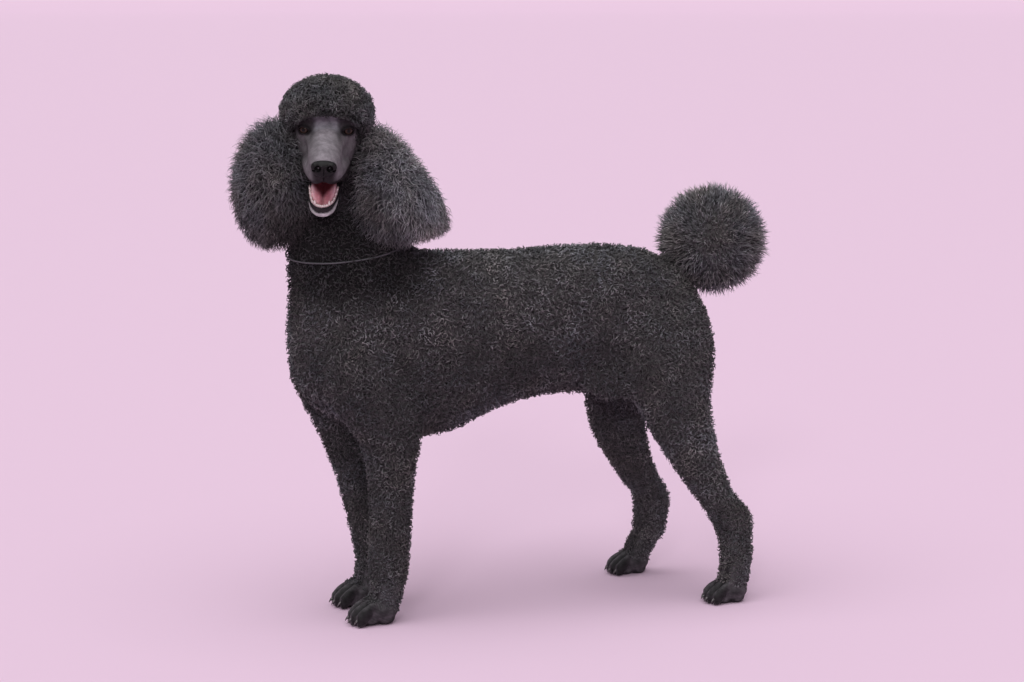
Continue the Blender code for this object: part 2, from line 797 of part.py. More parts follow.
def scaled(way, half):
    return Vector((way.x * half.x, way.y * half.y, way.z * half.z))


def coat_piece(root, bend, tip, out, half_width, half_thickness, shape, sides):
    """A closed tapered body along the bent line from root to tip, its flat side facing out."""
    bm = bmesh.new()
    rows = []
    for t, share in shape:
        point = root.lerp(bend, t).lerp(bend.lerp(tip, t), t)
        along = (bend.lerp(tip, t) - root.lerp(bend, t)).normalized()
        across = along.cross(out).normalized()
        rise = across.cross(along)
        ring = oval_ring(point, across, rise, half_width * share, half_thickness * share, 2.0, sides)
        rows.append([bm.verts.new(place) for place in ring])
    first = bm.verts.new(root)
    last = bm.verts.new(tip)
    for lower, upper in zip(rows, rows[1:]):
        for i in range(sides):
            j = (i + 1) % sides
            bm.faces.new((lower[i], lower[j], upper[j], upper[i]))
    for i in range(sides):
        j = (i + 1) % sides
        bm.faces.new((rows[0][i], rows[0][j], first))
        bm.faces.new((rows[-1][i], rows[-1][j], last))
    bmesh.ops.triangulate(bm, faces=bm.faces)
    return mesh_object("coat_piece", bm)


def clump(root, tip, half_width):
    """A rounded clump of curls that stands out from its root."""
    out = (tip - root).normalized()
    aside = out.orthogonal().normalized()
    bend = root.lerp(tip, 0.5) + aside * (half_width * 0.25)
    return coat_piece(root, bend, tip, aside, half_width, half_width, CLUMP_SHAPE, 5)


def unevenness(i):
    """A steady spread of numbers from 0 to 1."""
    return (i * 0.618) % 1.0


def ear_top(sign):
    """The plane between the topknot and an ear, facing out and down."""
    return in_head((Vector((sign * 0.066, 0.0, -0.014)), Vector((sign * 0.65, 0.0, -0.76))))


def scalp(cutter=None):
    """The smooth dome under the topknot, or the part of it that a cutter leaves."""
    dome = oval("scalp", SCALP_CENTRE, SCALP_HALF, HEAD, detail=16)
    if cutter is not None:
        boolean(dome, cutter, "DIFFERENCE")
    return dome


def cut_clear(piece, neighbours, gap=GAP * 1.3):
    """Cut a piece clear of its neighbours by a gap and keep its main body."""
    for neighbour in neighbours:
        boolean(piece, grown(neighbour, gap), "DIFFERENCE")
    keep_largest(piece)


def plug(head):
    """A plain body a little larger than the head, to cut coat clear of it."""
    coarse = copy_of(head, "plug")
    thin_out(coarse, HEAD_PLUG_TRIANGLES)
    bigger = grown(coarse, HEAD_PLUG_MARGIN)
    bpy.data.objects.remove(coarse, do_unlink=True)
    return bigger


def paint(piece, surface):
    piece.data.materials.clear()
    piece.data.materials.append(surface)
    piece.data.shade_smooth()
    piece.data.set_sharp_from_angle(angle=radians(40))


def make_trunk_nodes(body):
    """Torso, neck, tail and the four legs."""
    fore_block = (FORELEG_TOP, 0.50)
    hind_block = (HINDLEG_TOP, 0.44)
    torso = carve(body, "torso", [turned(NECK_BASE), turned(TAIL_BASE)], [fore_block, hind_block])
    neck = carve(body, "neck", [NECK_BASE, turned(in_head(HEAD_BASE))])
    boolean(neck, scalp(before(in_head(HEAD_BASE))), "UNION")
    tail = carve(body, "tail", [TAIL_BASE])
    nodes = [torso, neck, tail]
    wrist = (Vector((0.0, 0.0, WRIST_HEIGHT)), UP)
    for side, sign in (("left", 1), ("right", -1)):
        middle = (Vector(), SIDE * sign)
        fore = [turned(FORELEG_TOP), wrist, middle, (MID_BODY, -ALONG)]
        hind = [turned(HINDLEG_TOP), wrist, middle, (MID_BODY, ALONG)]
        nodes.append(carve(body, "foreleg_" + side, fore))
        nodes.append(carve(body, "hindleg_" + side, hind))
    return nodes


def make_paw(name, spot, scale, leg):
    """One shaved foot and its four claws."""
    matrix = paw_matrix(spot, scale)
    source = join("paw_source", paw_flesh(matrix) + [leg])
    fuse(source, PAW_VOXEL, 4)
    top = (Vector((0.0, 0.0, WRIST_HEIGHT)), -UP)
    paw = carve_fine(source, "paw_" + name, top, PAW_TRIANGLES)
    claws = []
    for i, (spread, reach) in enumerate(zip(TOE_SPREAD, TOE_REACH)):
        claws.append(claw("claw_%s_%d" % (name, i + 1), matrix, spread, reach))
    cut_clear(paw, claws)
    boolean(paw, slab(UP * SOLE, UP), "DIFFERENCE")
    keep_largest(paw)
    return paw, claws


def make_head_nodes():
    """Head, lower jaw, nose, tongue, lower teeth and eyes."""
    source = join("head_source", head_flesh() + [neck_flesh()])
    fuse(source, HEAD_VOXEL, 6)
    whole = carve_fine(source, "head_whole", in_head(HEAD_BASE), HEAD_TRIANGLES)
    head = copy_of(whole, "head")
    jaw = copy_of(whole, "lower_jaw")
    bpy.data.objects.remove(whole, do_unlink=True)
    boolean(jaw, jaw_box(0.0), "INTERSECT")
    boolean(head, jaw_box(GAP), "DIFFERENCE")
    boolean(head, scalp(behind(in_head(HEAD_BASE))), "UNION")
    boolean(head, mouth_hollow(), "DIFFERENCE")
    small = [nose(), tongue(), lower_teeth(), eyeball("eye_left", 1), eyeball("eye_right", -1)]
    cut_clear(head, small)
    cut_clear(jaw, small)
    return [head, jaw] + small


def topknot_clumps():
    """Clumps over the crown, lower at the back and sides than over the eyes."""
    clumps = []
    for i, way in enumerate(even_ways(TOPKNOT_CLUMPS)):
        lowest = -0.34 + 0.60 * max(0.0, -way.y)
        if way.z > lowest:
            reach = 1.0 - 0.03 * unevenness(i)
            root = HEAD @ (SCALP_CENTRE + scaled(way, SCALP_HALF) * 0.80)
            tip = HEAD @ (TOPKNOT_CENTRE + scaled(way, TOPKNOT_HALF) * reach)
            clumps.append(clump(root, tip, TOPKNOT_CLUMP))
    return clumps


def make_topknot(neighbours):
    crown = oval("topknot", TOPKNOT_CORE_CENTRE, TOPKNOT_CORE_HALF, HEAD, detail=14)
    unite(crown, topknot_clumps())
    thin_out(crown, TOPKNOT_TRIANGLES)
    visor = oval("visor", VISOR_CENTRE, VISOR_HALF, HEAD, detail=16)
    for cutter in (behind(in_head(FRINGE)), before(ear_top(1)), before(ear_top(-1)), visor):
        boolean(crown, cutter, "DIFFERENCE")
    cap = scalp()
    cut_clear(crown, [cap] + neighbours, COAT_GAP)
    bpy.data.objects.remove(cap, do_unlink=True)
    return crown


def pear_point(way, centre, half, narrowing, lean):
    """A point of the ear's outer shape in the given direction."""
    width = 1.0 - narrowing * way.z
    bulge = Vector((way.x * width, way.y * width, way.z))
    return LEVEL_HEAD @ (centre + scaled(bulge, half) - SIDE * (lean * way.z))


def ear_locks(centre, half, narrowing, lean):
    """Flat locks that leave the flap outward, bend and hang down over one another."""
    middle = LEVEL_HEAD @ centre
    locks = []
    for i, way in enumerate(even_ways(EAR_LOCKS)):
        surface = pear_point(way, centre, half, narrowing, lean)
        droop = 0.42 * (1.0 - max(0.0, way.z))
        lower = Vector((way.x, way.y, way.z - droop)).normalized()
        end = pear_point(lower, centre, half, narrowing, lean)
        root = middle.lerp(surface, EAR_ROOT) + UP * (half.z * 0.16)
        bend = middle.lerp(surface, 1.12) + UP * (half.z * 0.05)
        tip = middle.lerp(end, 1.0 - 0.05 * unevenness(i))
        out = (surface - middle).normalized()
        locks.append(coat_piece(root, bend, tip, out, EAR_LOCK_WIDTH, EAR_LOCK_THICKNESS, LOCK_SHAPE, 4))
    return locks


def make_ear(name, sign, centre, half, narrowing, lean, neighbours):
    middle = centre + UP * (half.z * EAR_CORE_RISE)
    flap = pear(name, middle, half * EAR_CORE, LEVEL_HEAD, narrowing, lean * EAR_CORE)
    unite(flap, ear_locks(centre, half, narrowing, lean))
    thin_out(flap, EAR_TRIANGLES)
    boolean(flap, behind(ear_top(sign)), "DIFFERENCE")
    cut_clear(flap, neighbours, COAT_GAP)
    return flap


def make_pompom(neighbours):
    ball = oval("tail_pompom", POMPOM_CENTRE, Vector((1, 1, 1)) * POMPOM_CORE, detail=12)
    clumps = []
    for i, way in enumerate(even_ways(POMPOM_CLUMPS)):
        reach = POMPOM_RADIUS * (1.0 - 0.03 * unevenness(i))
        root = POMPOM_CENTRE + way * POMPOM_ROOT
        clumps.append(clump(root, POMPOM_CENTRE + way * reach, POMPOM_CLUMP))
    unite(ball, clumps)
    thin_out(ball, POMPOM_TRIANGLES)
    boolean(ball, oval("crease", TAIL_CREASE, Vector((0.027, 0.016, 0.012))), "DIFFERENCE")
    cut_clear(ball, neighbours, COAT_GAP)
    return ball


def main():
    clear_scene()
    coat = material("black_coat", (0.022, 0.020, 0.022), 0.75)
    shaved = material("shaved_skin", (0.060, 0.056, 0.060), 0.60)
    leather = material("nose_leather", (0.012, 0.010, 0.011), 0.35)
    horn = material("claw_horn", (0.12, 0.11, 0.10), 0.35)
    pink = material("tongue_pink", (0.42, 0.12, 0.15), 0.40)
    ivory = material("tooth_ivory", (0.70, 0.62, 0.52), 0.35)
    glass = material("eye_dark", (0.020, 0.010, 0.006), 0.10)
    cord = material("collar_cord", (0.05, 0.05, 0.055), 0.60)

    body = body_flesh()
    trunk_nodes = make_trunk_nodes(body)
    neck = trunk_nodes[1]
    nodes = [(piece, coat) for piece in trunk_nodes]

    feet = (("fore_left", FORE_FOOT_LEFT, FORE_FOOT_SCALE, foreleg_flesh(True)),
            ("fore_right", FORE_FOOT_RIGHT, FORE_FOOT_SCALE, foreleg_flesh(False)),
            ("hind_left", HIND_FOOT_LEFT, HIND_FOOT_SCALE, hindleg_flesh(True)),
            ("hind_right", HIND_FOOT_RIGHT, HIND_FOOT_SCALE, hindleg_flesh(False)))
    for name, spot, scale, leg in feet:
        paw, claws = make_paw(name, spot, scale, leg)
        nodes.append((paw, shaved))
        nodes += [(piece, horn) for piece in claws]

    head_nodes = make_head_nodes()
    nodes += list(zip(head_nodes, (shaved, shaved, leather, pink, ivory, glass, glass)))
    head = head_nodes[0]

    band = collar(neck)
    nodes.append((band, cord))

    nodes.append((make_pompom([body]), coat))
    rough_head = plug(head)
    nodes.append((make_topknot([rough_head, body]), coat))
    around = [rough_head, head_nodes[1], body, band]
    nodes.append((make_ear("ear_left", 1, *EAR_LEFT, around), coat))
    nodes.append((make_ear("ear_right", -1, *EAR_RIGHT, around), coat))
    cut_clear(neck, [band])
    for spare in (body, rough_head):
        bpy.data.objects.remove(spare, do_unlink=True)

    group = bpy.data.collections.new("standard_poodle")
    bpy.context.scene.collection.children.link(group)
    for piece, surface in nodes:
        paint(piece, surface)
        bpy.context.scene.collection.objects.unlink(piece)
        group.objects.link(piece)
        piece.location = BODY_SHIFT


main()
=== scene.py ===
# The looks of a black standard poodle, a still model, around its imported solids. Metres, +Z up.
# The body faces -Y, its left side is at +X, and the head is turned to its left.
from math import cos, pi, radians, sin, sqrt

import bmesh
import bpy
import numpy as np
from mathutils import Matrix, Vector
from mathutils.bvhtree import BVHTree


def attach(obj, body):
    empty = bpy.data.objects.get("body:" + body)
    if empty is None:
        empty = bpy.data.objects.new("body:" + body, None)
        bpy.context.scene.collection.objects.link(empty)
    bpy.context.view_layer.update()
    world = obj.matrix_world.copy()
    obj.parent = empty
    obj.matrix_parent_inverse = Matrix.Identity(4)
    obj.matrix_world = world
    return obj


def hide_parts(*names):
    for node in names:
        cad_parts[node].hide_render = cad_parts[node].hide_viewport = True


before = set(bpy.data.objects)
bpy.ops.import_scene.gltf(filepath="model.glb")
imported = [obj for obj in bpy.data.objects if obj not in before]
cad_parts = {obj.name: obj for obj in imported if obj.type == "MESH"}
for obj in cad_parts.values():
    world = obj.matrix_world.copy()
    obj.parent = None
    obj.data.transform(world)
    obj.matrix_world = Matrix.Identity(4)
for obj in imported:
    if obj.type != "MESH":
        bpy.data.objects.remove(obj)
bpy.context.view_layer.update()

SIDE = Vector((1.0, 0.0, 0.0))
ALONG = Vector((0.0, 1.0, 0.0))
UP = Vector((0.0, 0.0, 1.0))
UNMOVED = Matrix.Identity(4)

# Places of the body, as in the solids
BODY_SHIFT = Vector((-0.0053, -0.0244, 0.0035))
BODY = Matrix.Translation(BODY_SHIFT)
POMPOM_CENTRE = Vector((0.0, 0.393, 0.605)) + BODY_SHIFT
POMPOM_RADIUS = 0.0965

# The head stands on the point between the eyes
EYE_MIDDLE = Vector((0.065, -0.297, 0.8045)) + BODY_SHIFT
HEAD_TURN = radians(74.5)
HEAD_NOD = radians(15.0)
HEAD_ROLL = radians(1.6)
LEVEL_HEAD = Matrix.Translation(EYE_MIDDLE) @ Matrix.Rotation(HEAD_TURN, 4, "Z")
HEAD = LEVEL_HEAD @ Matrix.Rotation(HEAD_NOD, 4, "X") @ Matrix.Rotation(HEAD_ROLL, 4, "Y")
INTO_HEAD = HEAD.inverted()
JAW_OPENING = radians(28.0)
JAW_SWING = radians(-2.6)
JAW_HINGE = Vector((0.0, 0.020, -0.035))
JAW = (HEAD @ Matrix.Translation(JAW_HINGE) @ Matrix.Rotation(JAW_SWING, 4, "Z")
       @ Matrix.Rotation(JAW_OPENING, 4, "X") @ Matrix.Translation(-JAW_HINGE))

# In the head's own frame: middles and half sizes
EYE_SPACING = 0.064
EYE_RADIUS = 0.0115
EYE_OPENING = (0.0093, 0.0048)
LID_THICKNESS = 0.0016
TOPKNOT_CENTRE = Vector((0.0, 0.045, 0.014))
TOPKNOT_HALF = Vector((0.077, 0.088, 0.0585))
SCALP_CENTRE = Vector((0.0, 0.054, -0.008))
SCALP_HALF = Vector((0.0600, 0.0740, 0.0590)) - Vector((0.002, 0.002, 0.002))
VISOR_CENTRE = Vector((0.0, -0.062, -0.024))
VISOR_HALF = Vector((0.066, 0.100, 0.0525))

# Middle, half sizes, how much wider an ear is at its foot, and how far it leans out
EAR_LEFT = (Vector((0.106, 0.045, -0.101)), Vector((0.0735, 0.070, 0.110)), 0.32, 0.035)
EAR_RIGHT = (Vector((-0.086, 0.040, -0.091)), Vector((0.066, 0.068, 0.106)), 0.04, -0.006)

# Name, spot on the floor, scale, and the end of the leg above: x, y, z, half width, half depth
FEET = (
    ("fore_left", Vector((0.066, -0.222, 0.0)) + BODY_SHIFT, 1.06, (
        (0.064, -0.1995, 0.085, 0.0265, 0.0275),
        (0.066, -0.205, 0.040, 0.0245, 0.0255),
        (0.066, -0.212, 0.020, 0.022, 0.022))),
    ("fore_right", Vector((-0.062, -0.218, 0.0)) + BODY_SHIFT, 1.06, (
        (-0.063, -0.190, 0.085, 0.0255, 0.0270),
        (-0.062, -0.200, 0.040, 0.0245, 0.0255),
        (-0.062, -0.208, 0.020, 0.022, 0.022))),
    ("hind_left", Vector((0.108, 0.385, 0.0)) + BODY_SHIFT, 0.97, (
        (0.105, 0.401, 0.085, 0.0215, 0.0240),
        (0.108, 0.395, 0.040, 0.0235, 0.0255),
        (0.108, 0.388, 0.020, 0.020, 0.021))),
    ("hind_right", Vector((-0.142, 0.302, 0.0)) + BODY_SHIFT, 0.97, (
        (-0.139, 0.336, 0.085, 0.0215, 0.0240),
        (-0.142, 0.318, 0.040, 0.0235, 0.0255),
        (-0.142, 0.308, 0.020, 0.020, 0.021))))
TOE_SPREAD = (-0.0190, -0.0067, 0.0067, 0.0190)
TOE_REACH = (0.0285, 0.0350, 0.0350, 0.0285)

# Flesh that one skin replaces
TRUNK_NODES = ("torso", "neck", "tail", "foreleg_left", "foreleg_right", "hindleg_left", "hindleg_right")
HEAD_NODES = ("head", "lower_jaw")
PAW_NODES = ("paw_fore_left", "paw_fore_right", "paw_hind_left", "paw_hind_right")

# Voxels and rounds of smoothing of the skin
TRUNK_FUSE = (0.0066, 20)
HEAD_FUSE = (0.0021, 3)
PAW_FUSE = (0.0024, 1)
NOSE_FUSE = (0.0007, 4)

# Base colours, linear
UNDERCOAT = (0.052, 0.050, 0.051)
# Undercoat darkened by painted shade, where the coat lies in the shade of the head.
UNDERCOAT_IN_PAINTED_SHADE = (0.014, 0.013, 0.014)
SHAVED_GREY = (0.140, 0.132, 0.140)
# Darker grey: painted shade in the hollows beside the muzzle and on the lower lips.
SHADED_SIDE_GREY = (0.082, 0.078, 0.081)
# Pale grey: painted highlight down the bridge.
BRIDGE_HIGHLIGHT_GREY = (0.245, 0.220, 0.245)
# Pale blue grey: painted sheen on the forehead.
FOREHEAD_SHEEN_GREY = (0.285, 0.287, 0.312)
# Black of the lips and lids, also used for painted shade in the tear grooves, under the nose and under the
# brows.
LIP_AND_SHADE_BLACK = (0.010, 0.008, 0.009)
CHIN_GREY = (0.400, 0.405, 0.400)
# Dark red of the mouth, made near black by painted shade in its hollow.
MOUTH_RED_IN_SHADE = (0.036, 0.008, 0.009)
FOOT_GREY = (0.044, 0.042, 0.045)

# How light the hair is, as a multiple of a near black
SHORT_LIGHTNESS = 4.9
CROWN_LIGHTNESS = 3.9
LONG_LIGHTNESS = 7.3

# The least half width of a tapered form
THINNEST = 0.0005

# Each tuft's place on the skin's unwrap goes in this map, in patches of this size
BAKE_MAP = "OFBake"
BAKE_PATCH = 0.003


# Building shapes


def smooth_rows(rows, steps):
    """Points on a Catmull-Rom curve through rows of numbers, steps to each span."""
    out = []
    last = len(rows) - 1
    for i in range(last):
        before = rows[max(i - 1, 0)]
        after = rows[min(i + 2, last)]
        for k in range(steps):
            t = k / steps
            out.append([0.5 * (2 * b + (c - a) * t + (2 * a - 5 * b + 4 * c - d) * t ** 2
                               + (3 * b - a - 3 * c + d) * t ** 3)
                        for a, b, c, d in zip(before, rows[i], rows[i + 1], after)])
    out.append(list(rows[last]))
    return out


def oval_ring(centre, side, up, half_side, half_up, power, count):
    """A superellipse of count points round centre."""
    ring = []
    for i in range(count):
        c = cos(2 * pi * i / count)
        s = sin(2 * pi * i / count)
        along = abs(c) ** (2 / power) * (1 if c >= 0 else -1)
        across = abs(s) ** (2 / power) * (1 if s >= 0 else -1)
        ring.append(centre + side * (half_side * along) + up * (half_up * across))
    return ring


def add_rings(bm, rings, matrix, closed=False):
    """A tube through rings of points, with its ends filled or joined to each other."""
    rows = [[bm.verts.new(matrix @ point) for point in ring] for ring in rings]
    count = len(rings[0])
    pairs = list(zip(rows, rows[1:]))
    if closed:
        pairs.append((rows[-1], rows[0]))
    for first, second in pairs:
        for i in range(count):
            j = (i + 1) % count
            bm.faces.new((first[i], first[j], second[j], second[i]))
    if not closed:
        for row in (rows[0], rows[-1]):
            middle = bm.verts.new(sum((v.co for v in row), Vector()) / count)
            for i in range(count):
                bm.faces.new((row[i], row[(i + 1) % count], middle))


def add_loft(bm, rows, side, up, matrix, steps=6, count=32):
    """rows: x, y, z of the middle, half width along side, half width along up, power."""
    rings = []
    for x, y, z, *half, power in smooth_rows(rows, steps):
        half = [max(size, THINNEST) for size in half]
        rings.append(oval_ring(Vector((x, y, z)), side, up, *half, power, count))
    add_rings(bm, rings, matrix)


def add_oval(bm, centre, half, matrix, detail=24):
    """An ellipsoid with the given half sizes."""
    place = matrix @ Matrix.Translation(centre) @ Matrix.Diagonal((*half, 1.0))
    bmesh.ops.create_uvsphere(bm, u_segments=detail, v_segments=detail // 2, radius=1.0, matrix=place)


def add_ovals(bm, ovals, matrix, sign=1):
    """Several ellipsoids, each a middle and half sizes, on one side or the other."""
    for (x, y, z), half in ovals:
        add_oval(bm, (sign * x, y, z), half, matrix)


def new_piece(name, bm):
    """A piece from a mesh under construction, which ends there."""
    mesh = bpy.data.meshes.new(name)
    bm.to_mesh(mesh)
    bm.free()
    return linked(name, mesh)


def linked(name, data):
    """An object of the scene with a mesh, camera or light of its own."""
    thing = bpy.data.objects.new(name, data)
    bpy.context.scene.collection.objects.link(thing)
    return thing


def piece_from(name, bm):
    """A new piece with its faces turned outward."""
    bmesh.ops.recalc_face_normals(bm, faces=bm.faces)
    return new_piece(name, bm)


def apply_modifiers(piece):
    depsgraph = bpy.context.evaluated_depsgraph_get()
    mesh = bpy.data.meshes.new_from_object(piece.evaluated_get(depsgraph))
    mesh.materials.clear()
    piece.modifiers.clear()
    piece.data = mesh


def add_smoothing(piece, rounds, group=""):
    """Even the surface out, or only where a group of vertices has weight."""
    even = piece.modifiers.new("Even", "SMOOTH")
    even.factor = 0.5
    even.iterations = rounds
    even.vertex_group = group


def fuse(piece, voxel, rounds):
    """One smooth closed surface round the joined pieces."""
    remesh = piece.modifiers.new("Fuse", "REMESH")
    remesh.mode = "VOXEL"
    remesh.voxel_size = voxel
    add_smoothing(piece, rounds)
    apply_modifiers(piece)


def carve(piece, fill):
    """Cut the closed shapes that fill adds to a mesh out of the piece."""
    bm = bmesh.new()
    fill(bm)
    tool = piece_from("cutter", bm)
    change = piece.modifiers.new("Carve", "BOOLEAN")
    change.operation = "DIFFERENCE"
    change.object = tool
    change.solver = "MANIFOLD"
    apply_modifiers(piece)
    bpy.data.objects.remove(tool, do_unlink=True)


def join(name, pieces):
    bm = bmesh.new()
    for piece in pieces:
        bm.from_mesh(piece.data)
    for piece in pieces:
        bpy.data.objects.remove(piece, do_unlink=True)
    return new_piece(name, bm)


def dress(piece, *materials):
    """Give a piece its materials and smooth shading."""
    for material in materials:
        piece.data.materials.append(material)
    piece.data.polygons.foreach_set("use_smooth", np.ones(len(piece.data.polygons), dtype=bool))


# Arrays of points


def unit(vectors):
    return vectors / np.maximum(np.linalg.norm(vectors, axis=-1, keepdims=True), 1e-9)


def read_vectors(items, name):
    flat = np.empty(len(items) * 3, dtype=np.float32)
    items.foreach_get(name, flat)
    return flat.reshape(-1, 3).astype(np.float64)


def points_of(mesh):
    return read_vectors(mesh.vertices, "co")


def normals_of(mesh):
    return read_vectors(mesh.vertex_normals, "vector")


def set_points(mesh, points):
    mesh.vertices.foreach_set("co", points.astype(np.float32).ravel())
    mesh.update()


def moved(points, matrix):
    grid = np.array(matrix)
    return points @ grid[:3, :3].T + grid[:3, 3]


def turned(vectors, matrix):
    return vectors @ np.array(matrix)[:3, :3].T


def faceward(points):
    """Points in the head's frame, and from them: distance from its middle plane, ahead, and up."""
    local = moved(points, INTO_HEAD)
    return local, np.abs(local[:, 0]), -local[:, 1], local[:, 2]


def smoothstep(low, high, values):
    t = np.clip((values - low) / (high - low), 0.0, 1.0)
    return t * t * (3 - 2 * t)


def bump(values, middle, half):
    """1 at the middle, falling smoothly to 0 at half away from it."""
    return 1 - smoothstep(0.0, half, np.abs(values - middle))


def ripple(points, scale, seed):
    """A smooth number, mostly from -1 to 1, that varies over about scale metres."""
    rng = np.random.default_rng(seed)
    ways = unit(rng.normal(size=(6, 3)))
    phases = rng.random(6) * 2 * pi
    stretch = 0.7 + 0.6 * rng.random(6)
    waves = np.sin(points @ ways.T * (2 * pi / scale) * stretch + phases)
    return waves.mean(axis=1) * 1.7


def paint(piece, name, values):
    """Store a number at each vertex for the materials."""
    layer = piece.data.attributes.new(name, "FLOAT", "POINT")
    layer.data.foreach_set("value", values.astype(np.float32))


def paint_colour(piece, name, colours):
    layer = piece.data.attributes.new(name, "FLOAT_COLOR", "POINT")
    full = np.concatenate([colours, np.ones((len(colours), 1))], axis=1)
    layer.data.foreach_set("color", full.astype(np.float32).ravel())


def blend_to(colours, target, amount):
    return colours + (np.array(target) - colours) * np.clip(amount, 0.0, 1.0)[:, None]


# Flesh


def face_rows(rows):
    """Rows of distance ahead of the eyes, top, bottom, half width, power."""
    return [(0.0, -ahead, (top + low) / 2, half, (top - low) / 2, power)
            for ahead, top, low, half, power in rows]


SKULL_ROWS = face_rows([
    (-0.128, 0.016, -0.020, 0.020, 2.0),
    (-0.115, 0.034, -0.045, 0.042, 2.0),
    (-0.085, 0.045, -0.060, 0.054, 2.1),
    (-0.045, 0.046, -0.066, 0.057, 2.2),
    (-0.015, 0.035, -0.066, 0.053, 2.2),
    (0.004, 0.024, -0.063, 0.046, 2.2),
    (0.022, 0.013, -0.058, 0.036, 2.2),
    (0.050, 0.007, -0.054, 0.0295, 2.3),
    (0.085, 0.003, -0.051, 0.0260, 2.3),
    (0.106, -0.003, -0.049, 0.0236, 2.2),
    (0.117, -0.009, -0.046, 0.0185, 2.0),
    (0.121, -0.017, -0.040, 0.0090, 2.0)])

JAW_ROWS = face_rows([
    (-0.050, -0.040, -0.078, 0.046, 2.0),
    (-0.020, -0.040, -0.086, 0.044, 2.0),
    (0.010, -0.048, -0.086, 0.036, 2.0),
    (0.040, -0.055, -0.080, 0.0262, 2.1),
    (0.070, -0.057, -0.077, 0.0232, 2.1),
    (0.088, -0.058, -0.075, 0.0188, 2.0),
    (0.098, -0.060, -0.071, 0.0100, 2.0)])

NECK_STUB_ROWS = [
    (0.002, -0.255, 0.665, 0.060, 0.074, 2.0),
    (0.008, -0.265, 0.720, 0.054, 0.057, 2.0),
    (0.012, -0.272, 0.780, 0.049, 0.049, 2.0),
    (0.012, -0.275, 0.815, 0.039, 0.039, 2.0)]

# Brow, cheek and the bone below the eye, on the left side
FACE_OVALS = (
    ((0.033, 0.004, 0.0165), (0.016, 0.014, 0.0085)),
    ((0.030, 0.026, -0.042), (0.017, 0.042, 0.032)),
    ((0.0345, -0.002, -0.0165), (0.0085, 0.0200, 0.0070)))

# Hollows of the mouth in the head and in the jaw, and the groove below the nose
PALATE = ((0.0, -0.050, -0.0580), (0.0238, 0.0520, 0.0170))
TROUGH = ((0.0, -0.046, -0.0530), (0.0212, 0.0450, 0.0105))
PHILTRUM = ((0.0, -0.1215, -0.0430), (0.0007, 0.0042, 0.0090))


def eye_centre(sign):
    return Vector((sign * EYE_SPACING / 2, -0.004, 0.0022))


def eye_axes(sign):
    """The way an eye looks, and the directions across and up its opening."""
    look = Vector((sign * 0.36, -0.93, 0.20)).normalized()
    across = look.cross(UP).normalized()
    return look, across, across.cross(look)


def add_lips(bm, sign):
    """The hanging upper lip of one side."""
    rows = [
        (sign * 0.0310, -0.018, -0.0500, 0.0090, 0.0145, 2.0),
        (sign * 0.0262, -0.050, -0.0455, 0.0088, 0.0165, 2.0),
        (sign * 0.0203, -0.085, -0.0400, 0.0096, 0.0165, 2.0),
        (sign * 0.0126, -0.110, -0.0375, 0.0108, 0.0145, 2.0),
        (sign * 0.0060, -0.118, -0.0380, 0.0075, 0.0090, 2.0)]
    add_loft(bm, rows, SIDE, UP, HEAD, count=20)


def add_lids(bm, sign):
    """A thin fold of flesh round the opening of the eye."""
    look, across, rise = eye_axes(sign)
    rings = []
    for i in range(28):
        angle = 2 * pi * i / 28
        offset = across * (EYE_OPENING[0] * 1.14 * cos(angle)) + rise * (EYE_OPENING[1] * 1.28 * sin(angle))
        depth = sqrt((EYE_RADIUS + LID_THICKNESS) ** 2 - offset.length_squared)
        middle = eye_centre(sign) + offset + look * depth
        rings.append(oval_ring(middle, offset.normalized(), look, 0.0017, 0.0015, 2.0, 8))
    add_rings(bm, rings, HEAD, closed=True)


def add_eye_opening(bm, sign):
    look, across, rise = eye_axes(sign)
    rows = []
    for depth in (0.004, 0.010, 0.016, 0.024):
        point = eye_centre(sign) + look * depth - rise * 0.0004
        rows.append((*point, *EYE_OPENING, 1.7))
    add_loft(bm, rows, across, rise, HEAD, steps=1, count=28)


# Middle of the curve of the lower tooth row
GUM_MIDDLE = 0.054


def gum_point(t, out=0.0):
    """Along the lower tooth row, from t -1 at the right through 0 in front to 1."""
    angle = t * radians(78)
    ahead = GUM_MIDDLE + (0.036 + out) * cos(angle) - 0.030 * max(0.0, abs(t) - 0.6)
    return Vector(((0.0224 + out) * sin(angle), -ahead, -0.0575))


def add_gum_tube(bm, reach, steps, out, lift, half_side, half_up, count, matrix):
    """A rounded strip along the lower tooth row, from t -reach to reach."""
    rings = []
    for i in range(steps + 1):
        middle = gum_point(-reach + 2 * reach * i / steps, out) + UP * lift
        side = Vector((middle.x, middle.y + GUM_MIDDLE, 0.0)).normalized()
        rings.append(oval_ring(middle, side, UP, half_side, half_up, 2.0, count))
    add_rings(bm, rings, matrix)


def even_bridge(skin):
    """Take the steps of the remesh off the forehead and the muzzle, clear of the eyes."""
    local, _, ahead, z = faceward(points_of(skin.data))
    weights = smoothstep(-0.044, -0.034, z) * smoothstep(-0.030, -0.010, ahead)
    weights = weights * smoothstep(0.124, 0.112, ahead)
    for sign in (-1, 1):
        away = np.linalg.norm(local - np.array(eye_centre(sign)), axis=1)
        weights = weights * smoothstep(0.016, 0.021, away)
    group = skin.vertex_groups.new(name="bridge")
    for index in np.nonzero(weights > 0.02)[0]:
        group.add([int(index)], float(weights[index]), "REPLACE")
    add_smoothing(skin, 12, "bridge")
    apply_modifiers(skin)
    skin.vertex_groups.clear()


